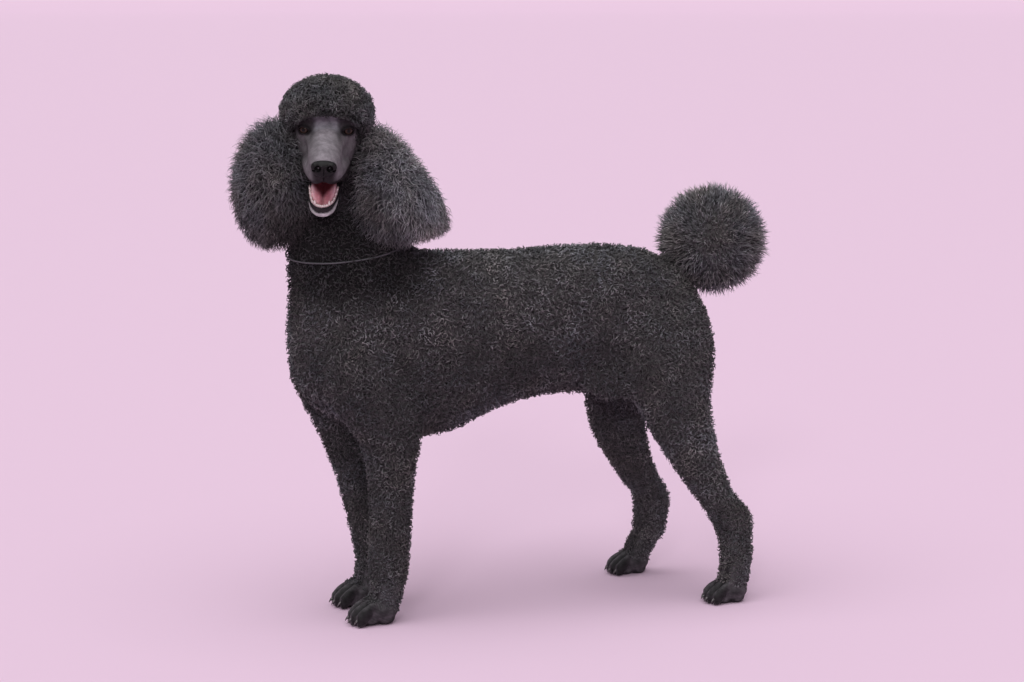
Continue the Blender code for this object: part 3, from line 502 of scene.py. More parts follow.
def sink_face(skin):
    """Hollows under the eyes and along the muzzle, and a furrow between the brows."""
    local, x, ahead, z = faceward(points_of(skin.data))
    line = -0.0150 - 0.16 * (ahead - 0.010)
    along = smoothstep(0.000, 0.018, ahead) * smoothstep(0.085, 0.050, ahead)
    groove = np.exp(-((z - line) / 0.0070) ** 2) * along * smoothstep(0.012, 0.022, x)
    furrow = np.exp(-(x / 0.0050) ** 2) * bump(ahead, 0.004, 0.026) * smoothstep(0.0, 0.010, z)
    shaped = local.copy()
    shaped[:, 0] -= np.sign(local[:, 0]) * 0.0034 * groove
    shaped[:, 2] -= 0.0016 * furrow
    set_points(skin.data, moved(shaped, HEAD))


def head_skin():
    """Shaved head, open jaw and the top of the neck."""
    bm = bmesh.new()
    add_loft(bm, SKULL_ROWS, SIDE, UP, HEAD)
    add_loft(bm, JAW_ROWS, SIDE, UP, JAW)
    add_loft(bm, NECK_STUB_ROWS, SIDE, ALONG, BODY)
    add_gum_tube(bm, 1.15, 24, 0.0038, 0.0010, 0.0020, 0.0034, 10, JAW)
    add_oval(bm, SCALP_CENTRE, SCALP_HALF, HEAD)
    for sign in (-1, 1):
        add_lips(bm, sign)
        add_ovals(bm, FACE_OVALS, HEAD, sign)
        add_oval(bm, eye_centre(sign), [EYE_RADIUS + LID_THICKNESS] * 3, HEAD)
        add_lids(bm, sign)
    skin = piece_from("head_skin", bm)
    fuse(skin, *HEAD_FUSE)
    even_bridge(skin)
    sink_face(skin)
    carve(skin, lambda tool: add_oval(tool, *PALATE, HEAD))
    carve(skin, lambda tool: add_oval(tool, *TROUGH, JAW))
    carve(skin, lambda tool: add_oval(tool, *PHILTRUM, HEAD))
    for sign in (-1, 1):
        carve(skin, lambda tool: add_eye_opening(tool, sign))
    return skin


def foot_place(spot, scale):
    return Matrix.Translation((spot.x, spot.y, 0.0)) @ Matrix.Scale(scale, 4)


# Middle of the foot, its back, and the pads under it
FOOT_OVALS = (
    ((0.0, 0.006, 0.022), (0.0255, 0.029, 0.0190)),
    ((0.0, 0.000, 0.028), (0.0225, 0.026, 0.0160)),
    ((0.0, -0.012, 0.0085), (0.0205, 0.020, 0.0105)),
    ((0.0, 0.012, 0.009), (0.0200, 0.018, 0.0115)))


def paw_skin(spot, scale, leg_rows):
    """One shaved foot with four arched toes, flat where it stands."""
    matrix = foot_place(spot, scale)
    bm = bmesh.new()
    add_ovals(bm, FOOT_OVALS, matrix)
    for spread, reach in zip(TOE_SPREAD, TOE_REACH):
        toe = [
            (spread * 0.60, 0.004, 0.0270, 0.0080, 0.0110, 2.0),
            (spread * 0.90, -0.010, 0.0275, 0.0074, 0.0110, 2.0),
            (spread * 1.06, -reach + 0.012, 0.0225, 0.0074, 0.0130, 2.0),
            (spread * 1.15, -reach + 0.001, 0.0150, 0.0074, 0.0138, 2.0),
            (spread * 1.18, -reach - 0.0075, 0.0110, 0.0058, 0.0092, 2.0)]
        add_loft(bm, toe, SIDE, UP, matrix, count=20)
    add_loft(bm, [(*row, 2.0) for row in leg_rows], SIDE, ALONG, BODY)
    skin = piece_from("paw_skin", bm)
    fuse(skin, *PAW_FUSE)
    points = points_of(skin.data)
    points[:, 2] = np.maximum(points[:, 2], 0.0)
    set_points(skin.data, points)
    return skin


def trunk_skin():
    """Torso, neck, tail and legs, inside the solids by the depth of the coat."""
    bm = bmesh.new()
    for name in TRUNK_NODES:
        bm.from_mesh(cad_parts[name].data)
    skin = piece_from("trunk_skin", bm)
    fuse(skin, *TRUNK_FUSE)
    points = points_of(skin.data)
    normals = normals_of(skin.data)
    coat_depth = 0.0022 + 0.0026 * smoothstep(0.10, 0.36, points[:, 2])
    clumps = 0.0008 * ripple(points, 0.017, 91) + 0.0007 * ripple(points, 0.034, 92)
    set_points(skin.data, points + normals * (clumps - coat_depth)[:, None])
    return skin


# Coat

# Tufts of the clipped coat
TRUNK_PER_AREA = 43200
TUFT_LENGTH = 0.0096
TUFT_WIDTH = 0.00105
TUFT_CURL = 0.0024
TUFT_RINGS = 3

# Where the pieces of the clipped coat part: heights first, then places along the body
LEG_TOP = 0.30
NECK_LOW = 0.575
NECK_BACK = -0.14
CHEST_BACK = -0.13
FORE_BACK = 0.06
RIBS_BACK = 0.10
LOIN_BACK = 0.26

# Lines that the unwraps of the coat go round: the neck's place along the body, the barrel's height,
# and the places of the legs and feet on the left and on the right
NECK_LINE = -0.27
BARREL_LINE = 0.45
FORELEG_LINES = (0.064, -0.064)
HINDLEG_LINES = (0.095, -0.120)
FOOT_LINES = (0.085, -0.100)

# Feet and cheeks carry denser and shorter tufts than the trunk
FOOT_DENSER = 1.6
FOOT_SHORTER = 0.70
HEAD_DENSER = 1.5
HEAD_SHORTER = 0.95

# No clipped coat grows this near the middle of the pompom, or this deep inside an ear
POMPOM_BARE = 0.055
EAR_BARE = 0.80

# Starts of the random draws
SEEDS = {"trunk": 3, "feet": 17, "head": 19, "ears": 21, "topknot": 41, "pompom": 61}

# How far an ear's lower part reaches in over the neck, and how far its cut bottom is rounded off
EAR_INNER = 0.030
EAR_HEM_ROUND = 0.020

# An ear has thick locks near its core and fine ones that reach its outline:
# name, count, depth of the roots, reach, half width, curl, length of a wave, rings
EAR_CORE = 0.74
EAR_LUMP = 0.0035
# Painted light on the left ear, on the side the light falls on.
EAR_PAINTED_LIGHT = 0.22
EAR_LAYERS = (
    ("locks", 3000, (0.60, 0.84), 1.00, 0.00105, 0.0042, 0.042, 5),
    ("wisps", 5600, (0.70, 0.93), 1.06, 0.00052, 0.0040, 0.040, 5))

# Curls of the topknot, and how far outside the arch over the eyes its core and its roots stay
TOPKNOT_CURLS = 9500
TOPKNOT_CORE = 0.875
TOPKNOT_LUMP = 0.0022
TOPKNOT_LENGTH = 0.0118
TOPKNOT_WIDTH = 0.00105
TOPKNOT_CURL = 0.0030
VISOR_CORE = 1.13
VISOR_ROOTS = 1.10

# Thick tufts inside the pompom, and fine ones that make its soft outline:
# name, count, depth of the roots, reach, half width, curl, rings
POMPOM_CORE = 0.74
POMPOM_LUMP = 0.0030
POMPOM_LAYERS = (
    ("locks", 2900, (0.52, 0.80), 0.98, 0.00130, 0.0016, 5),
    ("wisps", 4300, (0.66, 0.88), 1.05, 0.00060, 0.0015, 4))


def varied(rng, count, low, more):
    """Random numbers from low to low + more."""
    return low + more * rng.random(count)


def spread_roots(mesh, per_area, keep, rng):
    """Points and normals spread evenly over a mesh, so many to the square metre where keep allows."""
    mesh.calc_loop_triangles()
    corners = np.empty(len(mesh.loop_triangles) * 3, dtype=np.int32)
    mesh.loop_triangles.foreach_get("vertices", corners)
    corners = corners.reshape(-1, 3)
    points = points_of(mesh)
    normals = normals_of(mesh)
    a, b, c = (points[corners[:, k]] for k in range(3))
    areas = np.linalg.norm(np.cross(b - a, c - a), axis=1) / 2
    wanted = areas * per_area * keep((a + b + c) / 3)
    counts = np.floor(wanted + rng.random(len(areas))).astype(int)
    chosen = np.repeat(np.arange(len(areas)), counts)
    u = rng.random(len(chosen))
    v = rng.random(len(chosen))
    over = u + v > 1
    u[over] = 1 - u[over]
    v[over] = 1 - v[over]
    weights = np.stack([1 - u - v, u, v], axis=1)[:, :, None]
    roots = (points[corners[chosen]] * weights).sum(axis=1)
    outs = unit((normals[corners[chosen]] * weights).sum(axis=1))
    return roots, outs


def tuft_points(roots, outs, starts, ends, lengths, widths, curls, turns, rings, rng):
    """For each tuft, rings of three points round its winding line, and one at its tip."""
    count = len(roots)
    phases = rng.random(count) * 2 * pi
    middle = unit(starts + ends)
    first = unit(np.cross(middle, outs + 0.31 * np.roll(middle, 1, axis=1)))
    second = np.cross(middle, first)
    path = np.empty((rings + 1, count, 3))
    line = roots.copy()
    for k in range(rings + 1):
        t = k / rings
        angle = phases + turns * (2 * pi * t)
        reach = curls * min(1.0, 2.2 * t)
        path[k] = line + reach[:, None] * (first * np.cos(angle)[:, None] + second * np.sin(angle)[:, None])
        blend = smoothstep(0.0, 1.0, np.array((k + 0.5) / rings))
        line = line + unit(starts * (1 - blend) + ends * blend) * (lengths / rings)[:, None]
    points = np.empty((count, rings * 3 + 1, 3), dtype=np.float32)
    for k in range(rings):
        t = k / rings
        along = unit(path[k + 1] - path[max(k - 1, 0)])
        across = unit(np.cross(along, outs))
        rise = np.cross(along, across)
        width = widths * (0.62 + 0.38 * min(1.0, 3.5 * t)) * sqrt(1 - t ** 2.2)
        for j in range(3):
            angle = 2 * pi * j / 3
            points[:, k * 3 + j] = path[k] + width[:, None] * (cos(angle) * across + sin(angle) * rise)
    points[:, rings * 3] = path[rings]
    return points


def tuft_corners(count, rings):
    """The corners of every face of the tufts, three to a face."""
    corners = [(0, 2, 1)]
    for k in range(rings - 1):
        for j in range(3):
            a = k * 3 + j
            b = k * 3 + (j + 1) % 3
            corners += [(a, b, b + 3), (a, b + 3, a + 3)]
    top = (rings - 1) * 3
    corners += [(top + j, top + (j + 1) % 3, rings * 3) for j in range(3)]
    first = np.arange(count, dtype=np.int32) * (rings * 3 + 1)
    return (np.array(corners, dtype=np.int32)[None, :, :] + first[:, None, None]).reshape(-1)


def tufts(name, roots, outs, starts, ends, lengths, widths, curls, turns, shades, places, rings, rng):
    """One mesh of closed, tapered, three-sided tufts.

    Each leaves its root along starts, bends to ends, and winds round its line by turns at the
    radius curls. places holds the root's spot on the unwrap of the skin.
    """
    points = tuft_points(roots, outs, starts, ends, lengths, widths, curls, turns, rings, rng)
    corners = tuft_corners(len(roots), rings)
    mesh = bpy.data.meshes.new(name)
    mesh.vertices.add(points.size // 3)
    mesh.vertices.foreach_set("co", points.ravel())
    mesh.loops.add(len(corners))
    mesh.loops.foreach_set("vertex_index", corners)
    mesh.polygons.add(len(corners) // 3)
    mesh.polygons.foreach_set("loop_start", np.arange(0, len(corners), 3, dtype=np.int32))
    mesh.update(calc_edges=True)
    piece = linked(name, mesh)

    each = np.arange(rings * 3 + 1)
    height = np.minimum(each // 3, rings) / rings
    # Each tuft is darker at its root: painted shade down in the coat.
    paint(piece, "tone_and_painted_light", (shades[:, None] * (0.42 + 0.58 * height)[None, :]).ravel())
    patch = np.stack([(each % 3) / 2, height], axis=1) * BAKE_PATCH
    spots = places[:, None, :] * (1 - BAKE_PATCH) + patch[None, :, :]
    layer = mesh.uv_layers.new(name=BAKE_MAP)
    layer.data.foreach_set("uv", spots.reshape(-1, 2)[corners].astype(np.float32).ravel())
    return piece


def share(values):
    return (values - values.min()) / max(np.ptp(values), 1e-6)


def turn_share(first, second):
    """The angle of a point as a share of a turn."""
    return (np.arctan2(first, second) / (2 * pi)) % 1.0


def round_places(points, place, across, along):
    """An unwrap round a line that runs along one axis and lies at place on another one."""
    return np.stack([turn_share(points[:, 0], points[:, across] - place), share(points[:, along])], axis=1)


def leg_places(roots, lines):
    """Two unwraps side by side, one for each leg of a pair."""
    left = roots[:, 0] > 0
    angle = turn_share(roots[:, 0] - np.where(left, *lines), roots[:, 1] - roots[:, 1].mean())
    return np.stack([0.49 * angle + 0.5 * left, share(roots[:, 2])], axis=1)


def ball_unwrap(ways):
    """Two equal-area discs side by side, one for each half of a ball of directions."""
    reach = np.sqrt(1.0 / (1.0 + np.abs(ways[:, 0])))
    u = 0.25 + 0.24 * ways[:, 1] * reach + 0.5 * (ways[:, 0] < 0)
    v = 0.5 + 0.48 * ways[:, 2] * reach
    return np.stack([u, v], axis=1)


def even_ways(count, rng):
    """Directions spread evenly over a sphere, a little jittered."""
    i = np.arange(count)
    height = 1 - 2 * (i + 0.5) / count
    angle = pi * (3 - sqrt(5)) * i
    reach = np.sqrt(1 - height ** 2)
    ways = np.stack([np.cos(angle) * reach, np.sin(angle) * reach, height], axis=1)
    return unit(ways + rng.normal(size=ways.shape) * (0.9 / sqrt(count)))


def flat_to(directions, normals):
    """Directions laid along the surface."""
    return unit(directions - normals * (directions * normals).sum(axis=1, keepdims=True))


def lie_of(roots):
    """Which way the clipped coat lies: back and down on the trunk, down on the neck and legs."""
    legs = smoothstep(0.42, 0.30, roots[:, 2])
    neck = smoothstep(0.56, 0.66, roots[:, 2]) * (roots[:, 1] < -0.10)
    down = np.maximum(legs, neck)
    way = np.stack([np.zeros(len(roots)), 0.9 - 0.8 * down, -0.45 - 0.55 * down], axis=1)
    swirl = ripple(roots, 0.045, 11) * 1.3
    return way, np.cos(swirl), np.sin(swirl)


def painted_shade_of(points):
    """How much painted shade darkens the coat: at the throat under the head, and low down in front."""
    throat = smoothstep(0.49, 0.57, points[:, 2]) * smoothstep(-0.13, -0.21, points[:, 1])
    front = smoothstep(0.50, 0.42, points[:, 2]) * smoothstep(0.28, 0.14, points[:, 1])
    return 0.72 * throat + 0.15 * front


def coat_tones(roots, rng):
    """Light and dark patches of the coat, each tuft's own difference, painted shade at the throat and low
    down in front, and painted light along the top of the back.
    """
    patches = 0.22 * ripple(roots, 0.110, 12) + 0.22 * ripple(roots, 0.036, 13)
    patches = patches + 0.18 * ripple(roots, 0.017, 5)
    # Painted light along the top of the back.
    back = smoothstep(0.52, 0.60, roots[:, 2]) * smoothstep(-0.20, -0.10, roots[:, 1])
    return varied(rng, len(roots), 0.66, 0.32) + patches - painted_shade_of(roots) + 0.12 * back


def short_tufts(name, roots, outs, places, rng, length=1.0):
    """Clipped curls, each with its own turn, that lie along the body."""
    count = len(roots)
    way, cosine, sine = lie_of(roots)
    lie = flat_to(way, outs)
    aside = np.cross(outs, lie)
    lie = lie * cosine[:, None] + aside * sine[:, None]
    wild = flat_to(rng.normal(size=roots.shape), outs)
    clump = ripple(roots, 0.016, 5)
    short = length * (1.0 - 0.22 * smoothstep(0.34, 0.10, roots[:, 2]))
    rise = 0.65 + 0.30 * smoothstep(0.22, 0.40, roots[:, 2]) + 0.25 * clump
    starts = unit(outs * rise[:, None] + lie * 0.30 + wild * 0.50)
    ends = unit(lie * 0.70 + wild * 0.95 + outs * 0.10)
    lengths = TUFT_LENGTH * short * (varied(rng, count, 0.75, 0.40) + 0.12 * clump)
    widths = TUFT_WIDTH * varied(rng, count, 0.75, 0.50)
    curls = TUFT_CURL * short * varied(rng, count, 0.6, 0.8)
    turns = varied(rng, count, 0.35, 0.35)
    tones = coat_tones(roots, rng)
    return tufts(name, roots, outs, starts, ends, lengths, widths, curls, turns, tones, places,
                 TUFT_RINGS, rng)


def trunk_coat(trunk, in_head):
    """The short curly coat in seven pieces."""
    rng = np.random.default_rng(SEEDS["trunk"])
    ears = [ear_space(*EAR_LEFT), ear_space(*EAR_RIGHT)]

    def keep(points):
        shown = np.linalg.norm(points - np.array(POMPOM_CENTRE), axis=1) > POMPOM_BARE
        for inside in ears:
            shown = shown & (inside(points) > EAR_BARE)
        return shown * (0.93 + 0.45 * smoothstep(0.36, 0.26, points[:, 2]))

    roots, outs = spread_roots(trunk.data, TRUNK_PER_AREA, keep, rng)
    high = roots[:, 2] > 0.62
    covered = np.zeros(len(roots), dtype=bool)
    covered[high] = in_head(roots[high])
    roots, outs = roots[~covered], outs[~covered]
    y, z = roots[:, 1], roots[:, 2]
    leg = z < LEG_TOP
    neck = (z > NECK_LOW) & (y < NECK_BACK)
    fore = y < FORE_BACK
    barrel = ~leg & ~neck
    round_neck = (round_places, NECK_LINE, 1, 2)
    round_barrel = (round_places, BARREL_LINE, 2, 1)
    bands = (
        ("coat_neck", neck, round_neck),
        ("coat_forelegs", leg & fore, (leg_places, FORELEG_LINES)),
        ("coat_hindlegs", leg & ~fore, (leg_places, HINDLEG_LINES)),
        ("coat_chest", barrel & (y < CHEST_BACK), round_barrel),
        ("coat_ribs", barrel & (y >= CHEST_BACK) & (y < RIBS_BACK), round_barrel),
        ("coat_loin", barrel & (y >= RIBS_BACK) & (y < LOIN_BACK), round_barrel),
        ("coat_rump", barrel & (y >= LOIN_BACK), round_barrel))
    pieces = []
    for name, chosen, (unwrap, *where) in bands:
        spots = roots[chosen]
        pieces.append(short_tufts(name, spots, outs[chosen], unwrap(spots, *where), rng))
    return pieces


def foot_coat(paws):
    """Tufts down the back and sides of each foot, as far as the shaved toes."""
    rng = np.random.default_rng(SEEDS["feet"])
    found = []
    for paw, (_, foot, _, _) in zip(paws, FEET):
        def keep(points):
            edge = 0.0335 - 0.30 * (points[:, 1] - foot.y)
            return smoothstep(-0.003, 0.004, points[:, 2] - edge) * (points[:, 2] < 0.075)
        found.append(spread_roots(paw.data, TRUNK_PER_AREA * FOOT_DENSER, keep, rng))
    roots, outs = (np.concatenate(part) for part in zip(*found))
    places = leg_places(roots, FOOT_LINES)
    places[:, 1] = 0.5 * places[:, 1] + 0.5 * (roots[:, 1] < FORE_BACK)
    return short_tufts("coat_feet", roots, outs, places, rng, FOOT_SHORTER)


def head_coat(head):
    """Tufts on the nape, behind the cheeks and round the throat, where the shaved face ends."""
    rng = np.random.default_rng(SEEDS["head"])

    def keep(points):
        local, x, ahead, z = faceward(points)
        side = smoothstep(-0.002, 0.004, x - 0.0375) * (ahead < 0.004)
        throat = smoothstep(0.034, 0.020, ahead) * smoothstep(-0.048, -0.056, z)
        nape = smoothstep(-0.010, -0.030, ahead) * (z < 0.045 * smoothstep(-0.045, -0.070, ahead))
        clear = np.ones(len(points))
        for sign in (-1, 1):
            offset = (local - np.array(eye_centre(sign))) * np.array((1.0, 1.0, 1.4))
            clear = clear * smoothstep(0.018, 0.024, np.linalg.norm(offset, axis=1))
        return np.maximum(np.maximum(side, throat) * (ahead > -0.10) * (z < 0.020), nape) * clear

    roots, outs = spread_roots(head.data, TRUNK_PER_AREA * HEAD_DENSER, keep, rng)
    ways = unit(moved(roots, INTO_HEAD) - np.array((0.0, 0.040, -0.030)))
    return short_tufts("coat_cheeks", roots, outs, ball_unwrap(ways), rng, HEAD_SHORTER)


def ear_hem(local):
    """How low the hair of the ears is cut, higher at the outside of the left one."""
    outside = np.maximum(local[:, 0] - 0.075, 0.0)
    return -0.210 + 0.34 * outside - 0.50 * np.clip(-local[:, 0], 0.0, 0.05)


def pear_points(ways, centre, half, narrowing, lean):
    """Points of an ear's outer shape in the given directions, fuller low down beside the neck."""
    width = 1.0 - narrowing * ways[:, 2]
    inward = np.sign(centre.x) * np.maximum(-ways[:, 0] * np.sign(centre.x), 0.0)
    fuller = EAR_INNER * inward * smoothstep(0.2, -0.7, ways[:, 2])
    local = np.stack([
        centre.x + half.x * width * ways[:, 0] - lean * ways[:, 2] - fuller,
        centre.y + half.y * width * ways[:, 1],
        centre.z + half.z * ways[:, 2]], axis=1)
    above = local[:, 2] - ear_hem(local)
    local[:, 2] += (np.sqrt(above ** 2 + EAR_HEM_ROUND ** 2) - above) / 2
    return moved(local, LEVEL_HEAD)


def ear_space(centre, half, narrowing, lean):
    """A measure that is 1 on an ear's outer shape and less inside it."""
    def inside(points):
        whole = moved(points, LEVEL_HEAD.inverted())
        local = whole - np.array(centre)
        height = local[:, 2] / half.z
        width = np.maximum(1.0 - narrowing * np.clip(height, -1, 1), 0.2)
        x = (local[:, 0] + lean * height) / (half.x * width)
        y = local[:, 1] / (half.y * width)
        below = np.maximum(ear_hem(whole) - whole[:, 2], 0.0)
        return np.sqrt(x ** 2 + y ** 2 + height ** 2) + 20.0 * below
    return inside


def core_ball(name, place_points, lump, seed):
    """A lumpy solid of dense undercoat: place_points turns directions into its surface."""
    bm = bmesh.new()
    bmesh.ops.create_icosphere(bm, subdivisions=5, radius=1.0)
    core = piece_from(name, bm)
    surface = place_points(unit(points_of(core.data)))
    middle = surface.mean(axis=0)
    surface += unit(surface - middle) * (lump * ripple(surface, 0.016, seed))[:, None]
    set_points(core.data, surface)
    # The core is as dark as the roots of the tufts: painted shade deep in the hair.
    paint(core, "tone_and_painted_light", 0.42 + 0.10 * ripple(surface, 0.012, seed + 1))
    return core


def head_test(head):
    """Tells which points lie inside the head's skin."""
    tree = BVHTree.FromObject(head, bpy.context.evaluated_depsgraph_get())

    def inside(points):
        hits = np.zeros(len(points), dtype=bool)
        for i, point in enumerate(points):
            spot, normal, _, _ = tree.find_nearest(Vector(point))
            hits[i] = (Vector(point) - spot).dot(normal) < 0.0
        return hits
    return inside


def ear(node, sign, shape, in_head):
    """A full hanging ear: dense core, and wavy locks that fall outward over it."""
    rng = np.random.default_rng(SEEDS["ears"] + sign)
    middle = np.array(LEVEL_HEAD @ shape[0])
    down = np.array((0.0, 0.0, -1.0))

    def core_surface(ways):
        return middle + (pear_points(ways, *shape) - middle) * EAR_CORE

    pieces = [core_ball(node + "_core", core_surface, EAR_LUMP, SEEDS["ears"] + 10 + sign)]
    for layer, count, (deep, shallow), reach, width, curl, wave, rings in EAR_LAYERS:
        ways = even_ways(count, rng)
        surface = pear_points(ways, *shape)
        depth = varied(rng, count, deep, shallow - deep)
        roots = middle + (surface - middle) * depth[:, None]
        outs = unit(surface - middle)
        clump = ripple(surface, 0.024, 7 + sign)
        wild = rng.normal(size=roots.shape)
        starts = unit(outs * 0.85 + down * 0.25 + wild * 0.25)
        fall = 0.58 + 0.30 * smoothstep(0.3, -0.6, ways[:, 2])
        ends = unit(outs * (0.58 + 0.16 * clump)[:, None] + down * fall[:, None] + wild * 0.26)
        room = np.linalg.norm(surface - middle, axis=1) * (reach - depth)
        hang = smoothstep(0.1, -0.8, ways[:, 2])
        upper = smoothstep(-0.5, 0.3, ways[:, 2]) * (sign > 0)
        lengths = np.clip(room * (1.30 - 0.38 * hang - 0.30 * upper) + 0.004 - 0.004 * hang, 0.012, 0.044)
        lengths *= varied(rng, count, 0.75, 0.35)
        widths = width * varied(rng, count, 0.7, 0.6)
        curls = curl * varied(rng, count, 0.5, 1.0)
        turns = lengths / wave * varied(rng, count, 0.8, 0.4)
        tones = varied(rng, count, 0.60, 0.34) + 0.20 * clump + 0.14 * ripple(surface, 0.07, 9)
        # Painted shade on the inner sides that face the neck and low on the right ear; painted light on the
        # left ear.
        inner = smoothstep(0.3, -0.6, ways[:, 0] * sign)
        painted_light = EAR_PAINTED_LIGHT if sign > 0 else -0.22 * hang
        tones += painted_light - 0.30 * hang * inner - 0.24 * inner
        local = moved(roots, INTO_HEAD)
        shown = (np.abs(local[:, 0]) - 0.066) * 0.65 - (local[:, 2] + 0.014) * 0.76 > -0.014
        shown &= ~in_head(roots)
        drawn = (roots, outs, starts, ends, lengths, widths, curls, turns, tones, ball_unwrap(ways))
        pieces.append(tufts(node + "_" + layer, *(part[shown] for part in drawn), rings, rng))
    return pieces


def visor_measure(local):
    """1 on the arch that is cut from the topknot over the eyes, more above it."""
    return np.linalg.norm((local - np.array(VISOR_CENTRE)) / np.array(VISOR_HALF), axis=1)


def topknot_core():
    """The undercoat of the topknot, flat below and pushed out of the arch over the eyes."""
    centre = np.array(TOPKNOT_CENTRE)
    half = np.array(TOPKNOT_HALF)
    arch = np.array(VISOR_CENTRE)

    def surface(ways):
        return moved(centre + ways * half * TOPKNOT_CORE, HEAD)

    core = core_ball("topknot_core", surface, TOPKNOT_LUMP, SEEDS["topknot"] + 2)
    local = moved(points_of(core.data), INTO_HEAD)
    local[:, 2] = np.maximum(local[:, 2], -0.012 + 0.3 * np.maximum(-local[:, 1], 0.0))
    push = np.maximum(VISOR_CORE / np.maximum(visor_measure(local), 0.05), 1.0)
    push = np.where(local[:, 1] < 0.03, push, 1.0)
    set_points(core.data, moved(arch + (local - arch) * push[:, None], HEAD))
    return core


def topknot():
    """A rounded crown of tight curls, cut in an arch over the eyes."""
    rng = np.random.default_rng(SEEDS["topknot"])
    half = np.array(TOPKNOT_HALF)
    core = topknot_core()
    ways = even_ways(TOPKNOT_CURLS, rng)
    depth = TOPKNOT_CORE - 0.01 + 0.02 * rng.random(TOPKNOT_CURLS)
    spots = np.array(TOPKNOT_CENTRE) + ways * half * depth[:, None]
    measure = visor_measure(spots)
    fringe = (spots - np.array((0.0, -0.035, -0.010))) @ np.array((0.0, 0.300, 0.954))
    front = spots[:, 1] < 0.03
    shown = ((measure > VISOR_ROOTS) | ~front) & (fringe > 0.0) & (ways[:, 2] > -0.48)
    spots, ways, measure, front = (part[shown] for part in (spots, ways, measure, front))
    roots = moved(spots, HEAD)
    count = len(roots)
    outs = unit(turned(ways / half, HEAD))
    edge = smoothstep(1.45, 1.12, measure) * front
    lift = turned(unit(spots - np.array(VISOR_CENTRE)), HEAD)
    wild = flat_to(rng.normal(size=roots.shape), outs)
    clump = ripple(roots, 0.013, 45)
    starts = unit(outs + wild * 0.45 + lift * edge[:, None] * 0.8)
    ends = unit(outs * 0.40 + wild * 0.90 + lift * edge[:, None] * 0.7)
    lengths = TOPKNOT_LENGTH * (varied(rng, count, 0.8, 0.4) + 0.18 * clump) * (1.0 - 0.35 * edge)
    widths = TOPKNOT_WIDTH * varied(rng, count, 0.8, 0.4)
    curls = TOPKNOT_CURL * varied(rng, count, 0.6, 0.7)
    turns = varied(rng, count, 0.40, 0.35)
    # The fringe over the eyes is painted darker: painted shade on its underside.
    tones = varied(rng, count, 0.56, 0.22) + 0.26 * clump + 0.42 * ripple(roots, 0.026, 46) - 0.25 * edge
    return [core, tufts("topknot_curls", roots, outs, starts, ends, lengths, widths, curls, turns, tones,
                        ball_unwrap(ways), 4, rng)]


def pompom():
    """A round ball of tufts that stand out from the tail's end."""
    rng = np.random.default_rng(SEEDS["pompom"])
    centre = np.array(POMPOM_CENTRE)

    def surface(ways):
        return centre + ways * (POMPOM_RADIUS * POMPOM_CORE)

    pieces = [core_ball("tail_pompom_core", surface, POMPOM_LUMP, SEEDS["pompom"] + 2)]
    for layer, count, (deep, shallow), reach, width, curl, rings in POMPOM_LAYERS:
        ways = even_ways(count, rng)
        clump = ripple(ways * POMPOM_RADIUS, 0.030, 65)
        depth = varied(rng, count, deep, shallow - deep)
        roots = centre + ways * (POMPOM_RADIUS * depth)[:, None]
        wild = rng.normal(size=roots.shape)
        starts = unit(ways + wild * 0.14)
        ends = unit(ways + wild * 0.30)
        tip = POMPOM_RADIUS * (reach - 0.14 * rng.random(count) ** 1.5 + 0.045 * clump)
        lengths = np.maximum(tip - POMPOM_RADIUS * depth, 0.012)
        widths = width * varied(rng, count, 0.7, 0.6)
        curls = curl * varied(rng, count, 0.5, 1.0)
        turns = varied(rng, count, 0.4, 0.4)
        tones = varied(rng, count, 0.64, 0.34) + 0.18 * clump
        pieces.append(tufts("tail_pompom_" + layer, roots, ways, starts, ends, lengths, widths, curls, turns,
                            tones, ball_unwrap(ways), rings, rng))
    return pieces


# Face, mouth and feet

# Rows of distance ahead of the eyes, top, bottom, half width, power
NOSE_ROWS = face_rows([
    (0.1020, -0.0130, -0.0310, 0.0140, 2.0),
    (0.1100, -0.0105, -0.0350, 0.0188, 2.1),
    (0.1185, -0.0105, -0.0365, 0.0195, 2.1),
    (0.1245, -0.0135, -0.0355, 0.0170, 2.1),
    (0.1272, -0.0175, -0.0310, 0.0110, 2.0)])

TONGUE_ROWS = face_rows([
    (0.002, -0.044, -0.064, 0.0165, 2.2),
    (0.016, -0.044, -0.064, 0.0190, 2.2),
    (0.032, -0.046, -0.064, 0.0200, 2.4),
    (0.050, -0.049, -0.064, 0.0200, 2.4),
    (0.068, -0.0515, -0.064, 0.0180, 2.4),
    (0.080, -0.0550, -0.063, 0.0120, 2.2),
    (0.084, -0.0575, -0.0625, 0.0060, 2.0)])

# On the left side of the nose: its wing, and the round and the slit part of its nostril
NOSE_WING = (((0.0120, -0.1205, -0.0200), (0.0084, 0.0072, 0.0082)),)
NOSTRIL = (
    ((0.0094, -0.1290, -0.0215), (0.0056, 0.0090, 0.0055)),
    ((0.0155, -0.1240, -0.0250), (0.0070, 0.0055, 0.0016)))
NOSE_GROOVE = ((0.0, -0.1285, -0.0290), (0.0007, 0.0030, 0.0100))

# Lower teeth of one side, from the back to the front: where on the row, height, half width
SIDE_TEETH = [(t, 0.0034, 0.0019) for t in (0.95, 0.82, 0.68, 0.54)]
FANG = (0.38, 0.0085, 0.0020)
FRONT_TEETH = [(t, 0.0034, 0.0019) for t in (0.25, 0.15, 0.05)]

# The collar lies over the solid neck in front and sinks into the coat at the sides
COLLAR_RADIUS = 0.0014
COLLAR_LIFT = 0.0040
COLLAR_SUNK = -0.0026
COLLAR_STEPS = 160


def oval_measure(local, oval):
    """1 on an ellipsoid and less inside it."""
    return np.linalg.norm((local - np.array(oval[0])) / np.array(oval[1]), axis=1)


